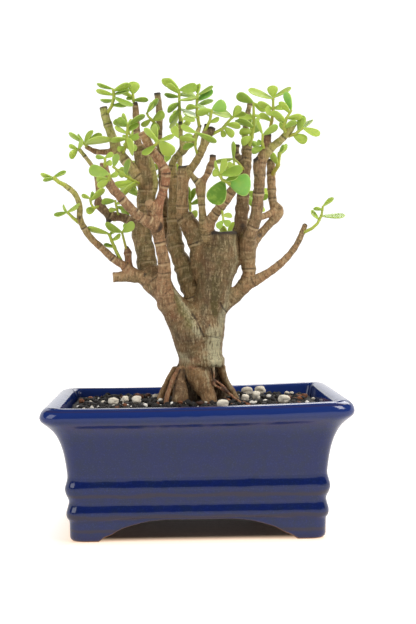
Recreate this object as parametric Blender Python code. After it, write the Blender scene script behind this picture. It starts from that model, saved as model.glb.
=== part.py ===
"""Dwarf jade bonsai in a glazed pot, at real size. Lengths below are millimetres; +Z is up.

The tree was read from one front view, so its branches and leaves are listed by where they
appear on the upright plane through the middle of the pot (x to the right, z up), and by how
far they stand behind that plane (+) or in front of it (-).
"""
import math
import random

import bpy
import bmesh
from mathutils import Vector
from mathutils.bvhtree import BVHTree

MM = 0.001
EYE = Vector((-17.0, -792.0, 172.0))      # where the tree was looked at from
STAND_X = 0.83                            # shift that centres the whole object on the origin
GAP = 0.35                                # clearance between pieces that touch
FRONT_SPREAD = 1.8                        # how much deeper the crown is than listed, towards
BACK_SPREAD = 1.25                        # the eye and away from it
SPREAD_FROM = 130.0                       # the deepening starts at this height
SPREAD_FULL = 230.0

# Pot: half widths are along x, half depths are DEPTH_LESS smaller
DEPTH_LESS = 25.5
CORNER_BASE = 9.0
CORNER_RIM = 15.0
CORNER_INSIDE = 6.5
FOOT_HALF = 85.5
RIM_HALF = 103.3
RIM_TOP = 91.6
POT_WALL = [(85.5, 0.0), (85.8, 13.4), (87.5, 17.8), (87.5, 19.6), (86.0, 25.6), (87.4, 30.8),
            (88.4, 33.8), (88.4, 36.2), (86.9, 42.4), (87.4, 50.0), (89.8, 62.5), (93.8, 72.6),
            (97.7, 77.8), (101.9, 81.8), (103.3, 84.6), (102.7, 88.0), (101.4, 90.0), (99.4, RIM_TOP)]
POT_INSIDE = [(94.0, 91.3), (91.4, 89.2), (87.0, 72.0), (79.0, 30.0), (75.0, 22.0)]
FOOT_WALL = 9.5
UNDERSIDE = 16.0
UNDER_ROUND = (0.8, 2.0)                  # the small round between foot wall and underside
FLOOR_TOP = 22.0
RIM_RISE = 1.5                            # the hand-made rim climbs to the right
RIM_SAG = 1.4                             # and dips in the middle of its long sides
ARCH = [(66.0, 0.0), (62.0, 2.8), (57.5, 4.6), (51.0, 8.4), (42.5, 11.2), (34.0, 13.2),
        (24.0, 14.4)]                     # half of the arch between two front feet
SIDE_ARCH_SCALE = 0.6
DRAIN_X = 42.0
DRAIN_R = 10.0
CUT_PAST = 4.0                            # how far a cutter runs past what it cuts
CORNER_STEPS = 5                          # points round each corner

# Drainage mesh over each hole
SCREEN_SIDE = 30.0
SCREEN_THICK = 1.0
SCREEN_HOLES = 3
SCREEN_HOLE = 6.2
SCREEN_PITCH = 8.6

# Soil: rings from the wall to the mound at the trunk, as shares of the half width at the wall
SOIL_HALF = 87.6
SOIL_RINGS = [(1.0, 84.4), (0.87, 85.2), (0.64, 86.4), (0.44, 87.6)]
SOIL_WALL_GAP = 0.5
GRIT_COUNT = 10
GRIT_SEED = 11
GRIT_HALF = (2.0, 3.4)                    # half length of a grain
GRIT_AREA = (80.0, 55.0)
GRIT_OUT = 0.15                           # a grain's middle above the soil, as a share of its half
GRIT_CROWD = 0.8                          # grains may touch a little
GRIT_FROM_PUMICE = 2.5
GRIT_FROM_TRUNK = 44.0
STONE_BROAD = 0.8                         # width and height of a stone as shares of its length
STONE_FLAT = 0.68

# Larger white pumice stones lying on the soil: apparent x, apparent z, depth, half length
PUMICE = {
    "pumice_right_back": (37.0, 92.8, 37.0, 3.9),
    "pumice_right_front": (19.5, 83.4, -44.0, 3.9),
    "pumice_right_mid": (43.4, 89.4, -1.0, 3.8),
    "pumice_right_rim": (35.6, 87.1, -14.0, 3.1),
    "pumice_far_right": (63.1, 86.8, -20.0, 4.0),
    "pumice_left_mid": (-58.4, 87.1, -18.0, 3.4),
    "pumice_left_near": (-41.7, 86.0, -21.0, 3.6),
    "pumice_left_back": (-49.9, 87.1, -6.0, 2.9),
    "pumice_back": (46.4, 95.7, 51.0, 4.2),
}

# Wood that grew as one piece. Each point: apparent x, apparent z, depth, radius
WOOD_STEP = (11.5, 1.6)                   # between rings of points: at least, and in radii
WOOD_SIDES = [(12.0, 12), (8.0, 8), (3.4, 6), (0.0, 5)]                 # thicker than, sides
RING_SWELL = (0.985, 1.035)               # yearly rings stand a little proud
ROOTS = {
    "root_left": [(-8, 116, 0, 3.4), (-12.4, 113.4, -1, 2.1), (-14.4, 110.6, -1, 1.8),
                  (-16.6, 107, -1, 1.7), (-19.4, 102, -2, 1.7), (-21.8, 96.8, -3, 1.9),
                  (-24.2, 91, -4, 2.2), (-28.6, 78, -5, 2.4)],
    "root_left_front": [(-7, 114, -6, 3.4), (-11.2, 110.4, -9, 1.8), (-13.4, 107, -10.5, 1.5),
                        (-15.4, 103.7, -12, 1.5), (-18, 96.8, -15, 1.5),
                        (-20.2, 89.8, -18, 1.6), (-21.4, 82.6, -20, 1.6),
                        (-22, 75, -22, 1.6)],
    "root_left_inner": [(-6, 114, -6, 4.0), (-9, 110, -8, 2.8), (-9.8, 106, -8.7, 2.7),
                        (-10.4, 102, -9.5, 3.3), (-10.8, 97, -10.5, 4.5),
                        (-11, 90, -12, 5.5), (-11.4, 84, -13, 5.7), (-11.8, 75, -13.5, 5.4)],
    "root_centre": [(0.7, 115, -5, 9.5), (0.7, 110, -6, 9.4), (2.4, 105, -7, 9.0),
                    (4.7, 100.4, -8, 8.0), (7.1, 95.5, -9.5, 6.8), (9.2, 91.3, -11, 5.7),
                    (11, 82, -14, 4.8), (12, 75, -17, 4.2)],
    "root_centre_side": [(-1.5, 108, -7, 6.0), (-0.8, 103, -8, 4.4), (1.6, 99, -9.5, 3.2),
                         (3.6, 95.6, -10.5, 1.8)],
    "root_strand": [(11.5, 114, -9, 1.8), (12.8, 111, -11, 1.1), (13.5, 106, -13, 0.85),
                    (13.2, 100, -14, 0.85), (14.2, 97.5, -15, 0.85), (22, 93.1, -18, 0.85),
                    (27.9, 88.2, -20, 0.85), (33.5, 83.8, -24, 0.85), (38, 75, -26, 0.85)],
    "root_strand_upper": [(13.3, 101.6, -13.4, 0.8), (19.2, 97.4, -16, 0.75),
                          (22.6, 93.2, -18.2, 0.75)],
    "root_right": [(13, 117, 0, 6.0), (17.9, 112.5, 0, 3.4), (19, 108, 0, 2.9),
                   (20.2, 104.5, 0, 2.6), (22, 100, 0, 2.4), (24.6, 95.8, -1, 2.2),
                   (27.6, 91, -1.5, 2.1), (33.5, 75, -2, 2.1)],
    "root_core": [(1.5, 117, 3, 13.0), (1, 106, 6, 12.0), (0.5, 96, 8, 11.6), (0, 74, 9, 11.0)],
    "root_core_right": [(10, 116, 3, 7.0), (14, 105, 6, 5.6), (17, 95, 8, 5.2),
                        (19, 74, 10, 5.0)],
    "root_back_left": [(-4, 115, 7, 6.0), (-12, 102, 16, 4.2), (-19, 92, 24, 3.5),
                       (-25, 76, 31, 3.0)],
    "root_back_right": [(10, 115, 7, 6.0), (18, 102, 15, 4.2), (24, 92, 22, 3.5),
                        (30, 76, 29, 3.0)],
    "root_back": [(4, 114, 10, 5.5), (5, 102, 20, 4.2), (6, 92, 28, 3.5), (7, 76, 34, 3.0)],
}
LIMBS = {
    "trunk": [(4.2, 112, 0, 15.9), (4.3, 114.2, 0, 16.7), (3.9, 118, 0, 15.5),
              (3.6, 123, 0, 15.0), (3, 130, 0, 16.6), (2, 138, 0, 17.4), (2, 144, 1, 14.0)],
    "left_limb": [(-1, 128, 0, 13.0), (-6, 139, -1, 11.6), (-12.5, 150, -2, 9.8),
                  (-18.5, 159.5, -2, 8.2), (-24, 168, -2, 8.2), (-29, 175, 0, 8.0)],
    "left_post": [(-28, 171, 2, 8.0), (-33, 182, 5, 7.2), (-34.2, 192, 6, 6.8),
                  (-36.6, 202, 7, 6.8), (-36.6, 211, 8, 6.6), (-34, 222, 9, 6.2),
                  (-32.7, 235, 10, 6.0), (-33.2, 250, 10, 6.0), (-34.8, 262, 10, 6.0),
                  (-36, 268, 10, 5.4)],
    "left_stub": [(-30, 172, -2, 7.0), (-38, 175, -3, 4.4), (-46, 175.5, -3, 3.8),
                  (-57.5, 175, -3, 3.4)],
    "front_post": [(-20, 156, -7, 6.4), (-20.8, 164, -8, 5.2), (-21, 172, -9, 4.6),
                   (-21.3, 184, -10, 4.3), (-23, 194, -10, 3.9),
                   (-26, 210, -10, 4.3), (-26.8, 216, -11, 4.1), (-27, 222, -11, 3.9)],
    "right_column": [(6, 130, 0, 13.0), (10, 142, -1, 11.4), (10.5, 150, -1, 10.8),
                     (12.8, 163, -2, 11.4), (14.8, 173, -2, 12.2),
                     (18.2, 188, -2, 14.6), (19.2, 191.5, -2, 13.6), (20.6, 194.5, -2, 10.8),
                     (21, 200, -2, 9.7), (21, 206.5, -2, 9.5)],
    "right_limb": [(10, 147, 1, 7.5), (19, 155, 1, 6.4), (27, 160.3, 0, 5.3),
                   (34.3, 167.3, 0, 5.0), (38.3, 174.5, 0, 4.8), (39, 182, 0, 4.7),
                   (38.5, 192, 0, 5.0), (37.5, 200, 0, 5.4)],
    "middle_limb": [(1, 152, 3, 7.0), (-2.2, 163.4, 4, 6.0), (-4.6, 171, 5, 6.6),
                    (-8.2, 184, 7, 6.6), (-11.8, 192, 8, 5.6),
                    (-13.6, 204, 10, 5.2), (-14.5, 216, 11, 4.4), (-14, 232, 13, 3.6),
                    (-15, 250, 14, 2.8)],
    "middle_post": [(6, 180, 0, 8.0), (4, 190, 0, 6.8), (3.2, 196, 0, 6.5), (0.6, 204, 0, 7.0),
                    (-3.3, 212, -1, 6.9), (-7.2, 218, -1, 5.8), (-8, 221, -1, 4.4),
                    (-7.6, 235, -2, 4.2), (-7, 253, -2, 3.8)],
}
BRANCHES = {
    "left_thin": [(-44, 178, -4, 3.2), (-49.5, 183, -5, 2.8), (-57, 188, -6, 2.6),
                  (-65, 195.5, -7, 2.4), (-72, 202, -8, 2.3), (-77, 209, -9, 2.3),
                  (-80.5, 217, -10, 2.2), (-80.5, 226, -11, 2.0), (-84, 234.5, -11, 1.9),
                  (-90.5, 240, -12, 1.9)],
    "knot_twig": [(-45.5, 178, -1, 2.6), (-46.5, 186, -2, 2.2), (-47, 192, -3, 2.7),
                  (-48, 197, -3, 1.2)],
    "low_left": [(-39, 211, 6, 4.0), (-45, 215, 5, 3.2), (-51, 217.5, 4, 3.0),
                 (-57.5, 218.5, 3, 3.0), (-63, 222, 2, 2.9), (-67, 227.5, 1, 2.7)],
    "low_left_nub": [(-59, 218, 3, 1.6), (-61, 213.5, 2, 1.3)],
    "low_left_up": [(-67, 226, 2, 1.9), (-67.5, 236, 3, 1.7), (-68.5, 246, 5, 1.6),
                    (-71, 253, 6, 1.5), (-76, 260, 7, 1.5), (-80, 265, 8, 1.4)],
    "front_left": [(-27, 211, -12, 3.8), (-33, 214, -14, 3.6), (-40, 219, -15, 3.4),
                   (-46, 225, -16, 3.3), (-52, 232, -18, 3.2), (-58, 239, -19, 3.1),
                   (-62, 248, -21, 3.0), (-63, 256, -22, 2.8)],
    "front_red": [(-27, 217, -11, 3.8), (-25.6, 224, -12, 3.2),
                  (-21.5, 235.7, -13, 2.9), (-19.9, 243, -14, 3.2), (-19.7, 250, -15, 3.3),
                  (-22.5, 254.8, -15, 3.1), (-26, 260, -16, 3.0), (-29.5, 265.5, -17, 3.0),
                  (-36, 277.5, -18, 2.9)],
    "front_cut": [(-29, 222, -12, 3.6), (-32, 228, -15, 2.8)],
    "post_olive": [(-37, 243, 9, 4.0), (-43, 251, 9, 3.7), (-49, 259, 10, 3.6),
                   (-54, 267, 11, 3.5), (-58, 277, 12, 3.3), (-61, 286, 12, 3.1),
                   (-63, 295, 13, 2.9)],
    "brown_side": [(-54, 264, 11, 2.2), (-62, 263.5, 13, 2.0), (-69, 264, 14, 1.9),
                   (-75, 267, 14, 1.6)],
    "post_upright": [(-38, 260, 11, 3.2), (-39.5, 275, 13, 2.5), (-40, 285, 14, 2.4),
                     (-40.3, 293, 14, 2.3), (-40.8, 298.5, 14, 1.7)],
    "green_side": [(-30, 232, 8, 1.8), (-26.5, 240, 6, 1.4), (-28, 250, 6, 1.3),
                   (-30.5, 259, 7, 1.2)],
    "behind_tall": [(-14, 196, 12, 4.2), (-19, 207, 18, 3.9), (-21, 220, 22, 3.4),
                    (-22, 245, 24, 2.8), (-24, 272, 25, 2.5), (-23.5, 290, 25, 2.4),
                    (-25, 305, 25, 2.3)],
    "middle_fork": [(-5, 247, -3, 2.6), (-1.7, 251, -4, 2.6), (3.1, 258.2, -5, 2.6),
                    (6.8, 266.2, -6, 2.6), (9.2, 272.8, -6, 2.5), (9.3, 276.5, -6, 2.3)],
    "middle_nub_a": [(9.2, 273.5, -6, 1.7), (9.6, 283, -6, 1.3)],
    "middle_nub_b": [(9.6, 272.5, -6, 1.8), (12.5, 276.5, -7, 1.8), (14.4, 280.5, -7, 2.0)],
    "olive_twig": [(-15, 247, 13, 2.6), (-14.6, 255.3, 12, 2.6), (-10.7, 261.1, 11, 2.4),
                   (-4.8, 266.9, 10, 2.2), (-0.4, 270.6, 10, 2.1), (2.6, 275.7, 9.5, 1.8),
                   (5.2, 282.5, 9, 1.4)],
    "olive_up": [(-7, 264, 10, 1.6), (-8.5, 274, 10, 1.5), (-9, 285, 10, 1.4)],
    "centre_twig": [(10, 198, -1, 4.0), (8.6, 210.5, -4, 3.6),
                    (6.6, 214.5, -5, 2.7), (6, 222, -6, 2.5), (5.4, 232, -6, 2.7),
                    (5, 239, -6, 2.8), (1.4, 243.5, -7, 2.0), (-3, 249, -8, 1.8)],
    "centre_right": [(4.5, 236, -6, 2.4), (6.5, 242.2, -6, 2.1), (9.8, 247.3, -6, 2.1),
                     (11.8, 252, -6, 2.7), (12.6, 254.5, -6, 2.5), (13.6, 256.5, -6, 2.1),
                     (14, 261.2, -6, 2.3)],
    "front_right": [(9.4, 208, -3, 3.7), (12.7, 215.5, -7, 3.5), (18.7, 224, -10, 3.5),
                    (24.5, 231.3, -12, 3.4), (28.5, 238, -14, 3.2)],
    "right_post": [(34, 188, 2, 4.0), (32.6, 196, 4, 4.4), (32.8, 205, 4, 4.6),
                   (33.6, 216, 5, 4.6), (35, 230, 7, 4.4), (36.5, 245, 8, 3.8),
                   (37.6, 255, 8.5, 3.5), (38.5, 268.5, 10, 3.3)],
    "right_post_nub": [(34, 257, 8, 2.4), (30.5, 262, 5, 2.2), (31, 268.5, 4, 2.1)],
    "right_post_top": [(37.5, 264, 12, 2.2), (37, 275, 15, 2.0), (37.5, 284, 17, 1.9),
                       (41, 299, 18, 1.8)],
    "right_front": [(38, 192, -1, 4.6), (40, 204, -4, 4.4), (44, 217, -6, 4.2),
                    (46.3, 235, -7, 4.0), (47.2, 250, -8, 3.9), (46, 258.5, -8, 3.5)],
    "right_front_up": [(46, 252, -8, 3.0), (50, 262, -9, 2.9), (52, 270, -9, 2.8),
                       (53, 276, -9, 2.6)],
    "right_reach": [(50, 260, -9, 2.6), (56, 266, -10, 2.6), (63, 272, -11, 2.5),
                    (69, 279, -12, 2.4), (72, 284, -12, 2.3)],
    "right_outer": [(40, 196, 2, 4.0), (46, 203.5, 5, 3.0), (53, 211, 7, 2.9),
                    (60, 218, 9, 3.2), (60, 222.5, 10, 3.6), (56.5, 227, 10, 3.0),
                    (55.5, 240, 11, 3.1), (55, 258, 12, 2.9)],
    "right_bridge": [(46, 216.5, -2, 2.6), (52, 218.5, 4, 2.2), (58, 221.5, 9, 2.4)],
    "right_thin": [(36, 168, -2, 3.6), (44, 172, -4, 3.6), (46.5, 173.6, -4.3, 3.4),
                   (53, 177.5, -6, 2.9), (60, 182.6, -8, 2.7), (66, 188, -9, 2.5),
                   (72, 195.5, -11, 2.2), (76, 203, -12, 2.0), (79, 210.5, -13, 1.8)],
    "back_left": [(-36, 218, 12, 3.0), (-38, 230, 24, 2.6), (-36, 243, 36, 2.2),
                  (-38, 256, 44, 1.8)],
    "back_low_left": [(-34, 188, 9, 3.0), (-36, 199, 24, 2.6), (-37, 212, 36, 2.2),
                      (-36, 224, 45, 1.8)],
    "back_middle": [(-14, 224, 13, 2.8), (-13, 238, 27, 2.4), (-10, 252, 39, 2.1),
                    (-9, 263, 47, 1.7)],
    "back_right": [(35, 222, 8, 2.8), (35, 236, 22, 2.4), (36, 249, 34, 2.1), (38, 260, 43, 1.7)],
    "back_low_right": [(22, 178, 6, 3.6), (24, 190, 22, 2.8), (31, 203, 35, 2.3),
                       (40, 215, 44, 1.9)],
}

# Leafy shoots. The stem is listed like the wood. Each leaf: how far along the stem it sits
# (0 to 1), apparent x and z of its tip, the width seen, and how much its tip leans back
STEM_STEP = 9.0
STEM_SIDES = 4
START_STEPS = 400                         # steps along a stem in search of clear room
SHOOTS = {
    "shoot_left_tip": ([(-90, 240, -12, 1.9), (-95, 242.5, -13, 1.8), (-99, 246, -13, 1.5)],
                       [(1.0, -108, 247.5, 3.0, 1), (0.9, -106, 243.5, 2.4, -3),
                        (1.0, -89.5, 249.5, 2.4, 2)]),
    "shoot_left_low": ([(-81, 214, -9, 1.8), (-85, 217, -11, 1.5), (-89.5, 221.5, -12, 1.0)],
                       [(1.0, -98.5, 218.5, 3.0, -2), (1.0, -80, 226, 3.2, -5),
                        (0.95, -93, 225, 2.4, 3)]),
    "shoot_stub_outer": ([(-50, 183, -4, 1.7), (-55, 193, -5, 1.6), (-57.5, 199, -6, 1.4),
                          (-60, 206, -6, 1.2)],
                         [(1.0, -76.5, 209, 3.6, -3), (0.8, -51.5, 204.5, 3.2, -4),
                          (0.6, -64, 198.3, 2.6, -2), (0.97, -54, 209.5, 3.0, 3)]),
    "shoot_stub_inner": ([(-47.5, 193, -3, 1.2), (-49.5, 201, -5, 1.1), (-51, 207.5, -6, 0.9)],
                         [(0.97, -63, 211.5, 5.5, -4), (0.97, -41.5, 212.5, 6.5, -5)]),
    "shoot_low_end": ([(-67, 225.5, 0, 1.1), (-70.5, 224, -4, 1.0), (-72.5, 227, -5, 0.9),
                       (-73, 231, -5, 0.9)],
                      [(0.3, -76, 221, 5.2, -3), (1.0, -79.3, 233, 3.0, -1),
                       (0.9, -62.5, 237, 4.2, -2), (1.0, -70.5, 235.5, 2.6, 2)]),
    "shoot_low_mid": ([(-53, 218, 3, 1.1), (-54.5, 224, -2, 1.0), (-55.5, 229.5, -3, 0.8)],
                      [(0.97, -65, 228, 4.5, -3), (0.5, -60, 222.5, 3.4, -1),
                       (0.8, -51, 228.5, 2.8, -1),
                       (0.7, -46.5, 222.5, 3.6, 4)]),
    "shoot_post_side": ([(-38, 241, 8, 1.3), (-43, 243.5, 0, 1.2), (-50.5, 248, -4, 1.1),
                         (-57, 253.5, -6, 0.9)],
                        [(0.24, -56.5, 238.3, 5.0, -3), (0.22, -53, 235, 3.0, -2),
                         (0.2, -49, 232, 3.0, 1), (0.85, -48.8, 246, 4.5, 2),
                         (0.97, -53.5, 262, 5.0, 1),
                         (0.6, -45.5, 258.0, 4.0, 4)]),
    "shoot_front_mid": ([(-59.5, 242, -18, 1.3), (-59.5, 245, -24, 1.1), (-59.5, 248, -26, 1.0)],
                        [(0.5, -68.5, 244.5, 5.6, -2), (1.0, -74, 251, 8.0, -2),
                         (0.8, -53, 248, 3.6, -1), (0.7, -67.0, 238.0, 5.0, 4)]),
    "shoot_front_top": ([(-62.5, 252, -21, 1.3), (-62.3, 256, -26, 1.1), (-62.3, 259.5, -27, 1.0)],
                        [(1.0, -69, 260, 3.0, -1), (1.0, -56.5, 262.5, 3.6, 1),
                         (0.6, -57.5, 256, 4.0, -2)]),
    "shoot_up_tip": ([(-79, 264, 8, 1.1), (-81.5, 266, 8, 0.9)],
                     [(1.0, -87.8, 268, 3.2, -1), (1.0, -86.5, 259.3, 5.0, -2),
                      (0.9, -77.5, 272, 3.6, -6)]),
    "shoot_brown_side": ([(-74, 266, 14, 1.4), (-76.5, 270, 12, 1.1)],
                         [(1.0, -88, 276.5, 3.2, -2), (1.0, -71, 278.5, 3.6, 5),
                          (0.75, -64.5, 276.5, 5.2, -4), (0.8, -58, 271, 5.0, -8),
                          (0.8, -82, 274, 4.2, 8)]),
    "shoot_olive_mid": ([(-50, 261, 10, 1.3), (-47.5, 268, 4, 1.2), (-46.5, 276, 2, 1.1),
                         (-46, 283, 1, 1.0)],
                        [(0.95, -53.2, 287, 5.0, -2), (0.75, -55.5, 280.5, 3.2, -2),
                         (1.0, -33.5, 288.8, 3.8, -3), (0.6, -58, 271, 3.8, -3),
                         (0.35, -53.5, 265, 4.2, -2), (1.0, -50.5, 290, 3.0, 3),
                         (0.8, -38.5, 283.0, 4.5, 5), (0.55, -37.0, 274.5, 4.5, -4),
                         (0.35, -39.5, 265.5, 5.0, 5), (0.6, -43.0, 262.5, 4.4, -7)]),
    "shoot_olive_top": ([(-60.5, 290.5, 12, 1.5), (-57, 296, 9, 1.4), (-55.5, 302, 8, 1.2),
                         (-56, 308, 7, 1.0)],
                        [(0.4, -45, 296.3, 4.0, -3), (0.78, -68.3, 306, 3.4, -2),
                         (0.8, -44, 306.5, 2.6, 2), (0.72, -43.5, 294, 4.5, -4),
                         (1.0, -67.8, 310.5, 2.8, 1), (0.92, -43.5, 310, 4.4, -2),
                         (0.6, -64.5, 298.5, 3.6, 7)]),
    "shoot_upright_top": ([(-41, 296, 14, 1.3), (-42, 301, 13, 1.1), (-42.2, 304, 13, 1.0)],
                          [(1.0, -41, 313, 8.8, -1), (0.5, -31.5, 299.8, 3.6, -3),
                           (0.6, -46.5, 301.5, 3.0, 4),
                           (0.8, -51.0, 305.0, 3.4, 7)]),
    "shoot_tall_mid": ([(-24.5, 281, 25, 1.4), (-28, 285, 16, 1.2), (-31.5, 288.4, 12, 1.1),
                        (-32.5, 291, 11, 0.9)],
                       [(1.0, -23.8, 300.4, 3.6, -3), (0.6, -20.5, 291, 6.5, -6),
                        (0.5, -26.4, 277.5, 7.0, -4), (0.7, -36, 281, 4.2, 3),
                        (1.0, -27.5, 296.5, 3.4, 5)]),
    "shoot_red_top": ([(-29, 266, -17, 1.2), (-25.5, 269.5, -22, 1.1), (-24, 271.5, -23, 1.0)],
                      [(1.0, -13, 274, 2.8, -2), (1.0, -14.5, 262, 9.5, -3),
                       (0.9, -35, 279.5, 3.8, -3), (0.5, -35.5, 261, 4.5, -2),
                       (0.7, -27.0, 282.5, 4.5, 5)]),
    "shoot_crown": ([(-9, 284, 10, 1.3), (-9.3, 292, 9, 1.2), (-9.5, 299, 8, 1.1),
                     (-9.5, 307, 7, 0.9)],
                    [(1.0, -21.8, 314.2, 7.0, -2), (1.0, 3.5, 308.5, 7.0, -2),
                     (0.8, -20, 302.6, 3.4, 4), (0.85, 0.8, 303.5, 4.0, 8), (0.7, 3, 299, 2.8, -8),
                     (0.45, 4.5, 288.5, 3.2, -8), (0.35, -16.2, 284.5, 4.5, -6),
                     (0.6, -17.5, 292.0, 4.5, -6), (0.5, -14.0, 280.5, 4.5, 6),
                     (0.9, -18.5, 309.0, 4.0, 7)]),
    "shoot_crown_right": ([(4.5, 281, 9, 1.5), (3, 291, 6, 1.5), (3, 298, 5, 1.3),
                           (3.5, 304, 4, 1.0)],
                          [(1.0, 4.5, 311.5, 3.8, 1), (0.97, 15, 308.8, 2.6, -2),
                           (0.8, 14.5, 305.5, 5.5, 2), (0.3, -7, 288.7, 2.6, -2),
                           (0.6, -4.5, 294.5, 4.0, -5), (0.65, 14.0, 299.5, 3.2, 6),
                           (0.45, 12.0, 292.0, 3.4, 8)]),
    "shoot_arch": ([(8.5, 278, -7, 1.3), (12, 285, -9, 1.1), (13.5, 293, -10, 1.0)],
                   [(1.0, 3.5, 290, 5.2, -2), (1.0, 23.5, 297, 8.8, -2),
                    (0.9, 26.5, 287.5, 3.2, 3), (0.45, 19, 286.3, 3.4, -3),
                    (0.7, 4.5, 297.0, 3.6, 5)]),
    "shoot_fork_low": ([(3, 261, -5, 1.1), (1.5, 267, -10, 1.0), (2.5, 277, -12, 0.9)],
                       [(0.75, -9.8, 272.5, 4.0, -1), (1.0, -9, 280.5, 4.2, -3),
                        (1.0, 16.3, 269.5, 4.0, -2),
                        (0.6, -7.0, 266.0, 4.2, 5)]),
    "shoot_centre_right": ([(9.5, 273.5, -6, 1.5), (15, 276.5, -7, 1.5), (21, 279.5, -7, 1.3),
                            (25, 284.5, -7, 1.1), (28.5, 288, -7, 1.0)],
                           [(0.97, 17, 294, 4.2, 2), (1.0, 33.5, 295.5, 5.5, -3),
                            (0.6, 28.5, 274, 5.2, -3), (0.7, 33.5, 281, 4.5, -5),
                            (1.0, 37.5, 290, 4.0, 4),
                            (0.5, 22.5, 273.5, 4.2, 4)]),
    "shoot_post_inner": ([(35.5, 251, 6, 1.1), (31.5, 256, 0, 1.0), (28.5, 258.5, -3, 0.9)],
                         [(1.0, 15.3, 255.3, 2.8, -2), (0.97, 28, 270.5, 2.6, -5)]),
    "shoot_two_leaves": ([(27.5, 239, -15, 1.4), (23.5, 242, -19, 1.3), (20, 243.8, -20, 1.1),
                          (19, 247.5, -20, 1.0)],
                         [(0.66, 13.2, 226.3, 13.5, -3), (0.25, 40.5, 239.5, 15.5, -4),
                          (1.0, 13.3, 249, 5.5, 2), (0.97, 35.3, 250, 7.2, -4),
                          (1.0, 23.5, 257, 5.0, 4),
                          (0.9, 14.5, 254.5, 4.0, 6), (0.6, 31.5, 245.5, 4.2, 8)]),
    "shoot_post_crown": ([(38.5, 264, 9, 1.8), (41.5, 273, 7, 1.7), (43, 282, 6, 1.5),
                          (43.2, 290, 5, 1.3), (43, 298, 4, 1.0)],
                         [(1.0, 31, 303, 7.0, -2), (1.0, 51, 291, 4.2, 2),
                          (0.75, 53, 286.5, 3.4, -3), (0.7, 32.5, 287, 5.2, 2),
                          (0.4, 33, 277, 5.4, -3),
                          (0.5, 30.6, 284.5, 4.5, -6),
                          (0.3, 34.5, 269.2, 6.0, -6), (0.2, 46.5, 266.5, 4.5, 5)]),
    "shoot_front_crown": ([(53.5, 274, -9, 1.5), (55.5, 283, -10, 1.3), (57, 291, -11, 1.2),
                           (57, 301.5, -11, 1.0)],
                          [(1.0, 56.5, 310, 7.6, -1), (1.0, 70.5, 307.5, 2.6, -2),
                           (0.97, 39, 306, 4.5, 2), (0.72, 66.5, 294.5, 4.0, 2),
                           (0.7, 46, 297.5, 4.2, -2), (0.4, 47, 289.5, 3.8, -2),
                           (0.55, 51.0, 293.5, 5.0, -8)]),
    "shoot_reach_green": ([(66, 275, -11, 1.3), (64.5, 281, -15, 1.2), (66.5, 287, -16, 1.1),
                           (70, 292.5, -16, 0.9)],
                          [(1.0, 65, 305, 5.2, -2), (0.7, 77.8, 287.3, 4.2, -2),
                           (0.6, 56, 291, 4.5, -3), (0.35, 73, 284, 4.2, -3),
                           (0.5, 60.0, 289.0, 5.0, 5), (0.9, 61.5, 298.0, 4.0, -5),
                           (0.2, 61.0, 283.5, 3.2, 4)]),
    "shoot_reach_tip": ([(68, 274, -11, 1.3), (73, 276, -14, 1.2), (78, 280, -14, 1.0)],
                        [(1.0, 89.8, 274, 5.2, -2), (0.7, 77.3, 288.5, 6.0, 1),
                         (0.3, 80.8, 270.5, 6.8, -3),
                         (0.9, 84.0, 285.5, 3.6, 4)]),
    "shoot_front_inner": ([(50.5, 264, -9, 1.2), (49, 270, -14, 1.1), (49.5, 275.5, -15, 0.9)],
                          [(1.0, 45, 285, 2.6, -1), (0.97, 60.5, 281, 5.0, -2),
                           (0.25, 41.8, 263, 5.0, -3),
                           (0.55, 44.8, 269.5, 4.5, 3)]),
    "shoot_outer_top": ([(56, 247, 10, 1.9), (60, 253, 6, 1.8), (61.5, 263, 5, 1.4)],
                        [(0.9, 67.5, 267.7, 3.4, 3), (0.5, 54.3, 262.5, 4.6, -3),
                         (1.0, 64, 267, 3.0, -3)]),
    "shoot_hanging": ([(20, 222, -11, 1.1), (20.8, 217.5, -16, 1.0), (21, 214.5, -17, 0.9)],
                      [(1.0, 26, 211.5, 5.0, -2), (1.0, 16, 209.5, 4.6, -3),
                       (0.6, 27.0, 218.0, 3.6, 4)]),
    "shoot_right_tip": ([(78.5, 206, -13, 1.5), (84, 208.5, -15, 1.4), (88, 212, -15, 1.3),
                         (91, 218, -15, 1.1), (92, 224.5, -15, 0.8)],
                        [(0.72, 108, 216.5, 3.4, -2), (0.6, 83, 221, 2.8, -1),
                         (1.0, 99.8, 230, 2.8, 1), (0.9, 85.5, 222.8, 2.4, -3)]),
    "shoot_behind": ([(-3, 213, 3, 1.2), (-2.5, 221, 10, 1.1), (-2.5, 228, 14, 1.0)],
                     [(1.0, 1.8, 237.5, 3.6, 2), (1.0, -4.5, 239, 2.8, -3),
                      (0.5, 3, 219, 6.0, 3), (0.8, -12, 226, 5.0, 5),
                      (0.7, -9.0, 234.0, 4.0, -4), (0.9, 7.5, 229.5, 4.0, 3)]),
}

# Shoots on the far side, which the front view hides: where each starts on the wood, the way
# it grows (x, y, z) and its length
BACK_SHOOTS = {
    "back_shoot_left": ((-38, 256, 44), (-0.35, 0.3, 1.0), 24.0),
    "back_shoot_left_side": ((-37, 238, 31), (-0.8, 0.5, 0.6), 18.0),
    "back_shoot_low_left": ((-36, 224, 45), (-0.3, 0.35, 1.0), 20.0),
    "back_shoot_low_out": ((-37, 209, 33), (-0.7, 0.7, 0.5), 17.0),
    "back_shoot_middle": ((-9, 263, 47), (0.1, 0.3, 1.0), 22.0),
    "back_shoot_middle_side": ((-12, 244, 32), (-0.5, 0.8, 0.5), 18.0),
    "back_shoot_right": ((38, 260, 43), (0.3, 0.25, 1.0), 22.0),
    "back_shoot_right_side": ((35.5, 242, 28), (-0.5, 0.7, 0.6), 18.0),
    "back_shoot_low_right": ((40, 215, 44), (0.4, 0.3, 1.0), 20.0),
    "back_shoot_low_in": ((27, 196, 28), (-0.35, 1.0, 0.45), 18.0),
}
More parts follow.
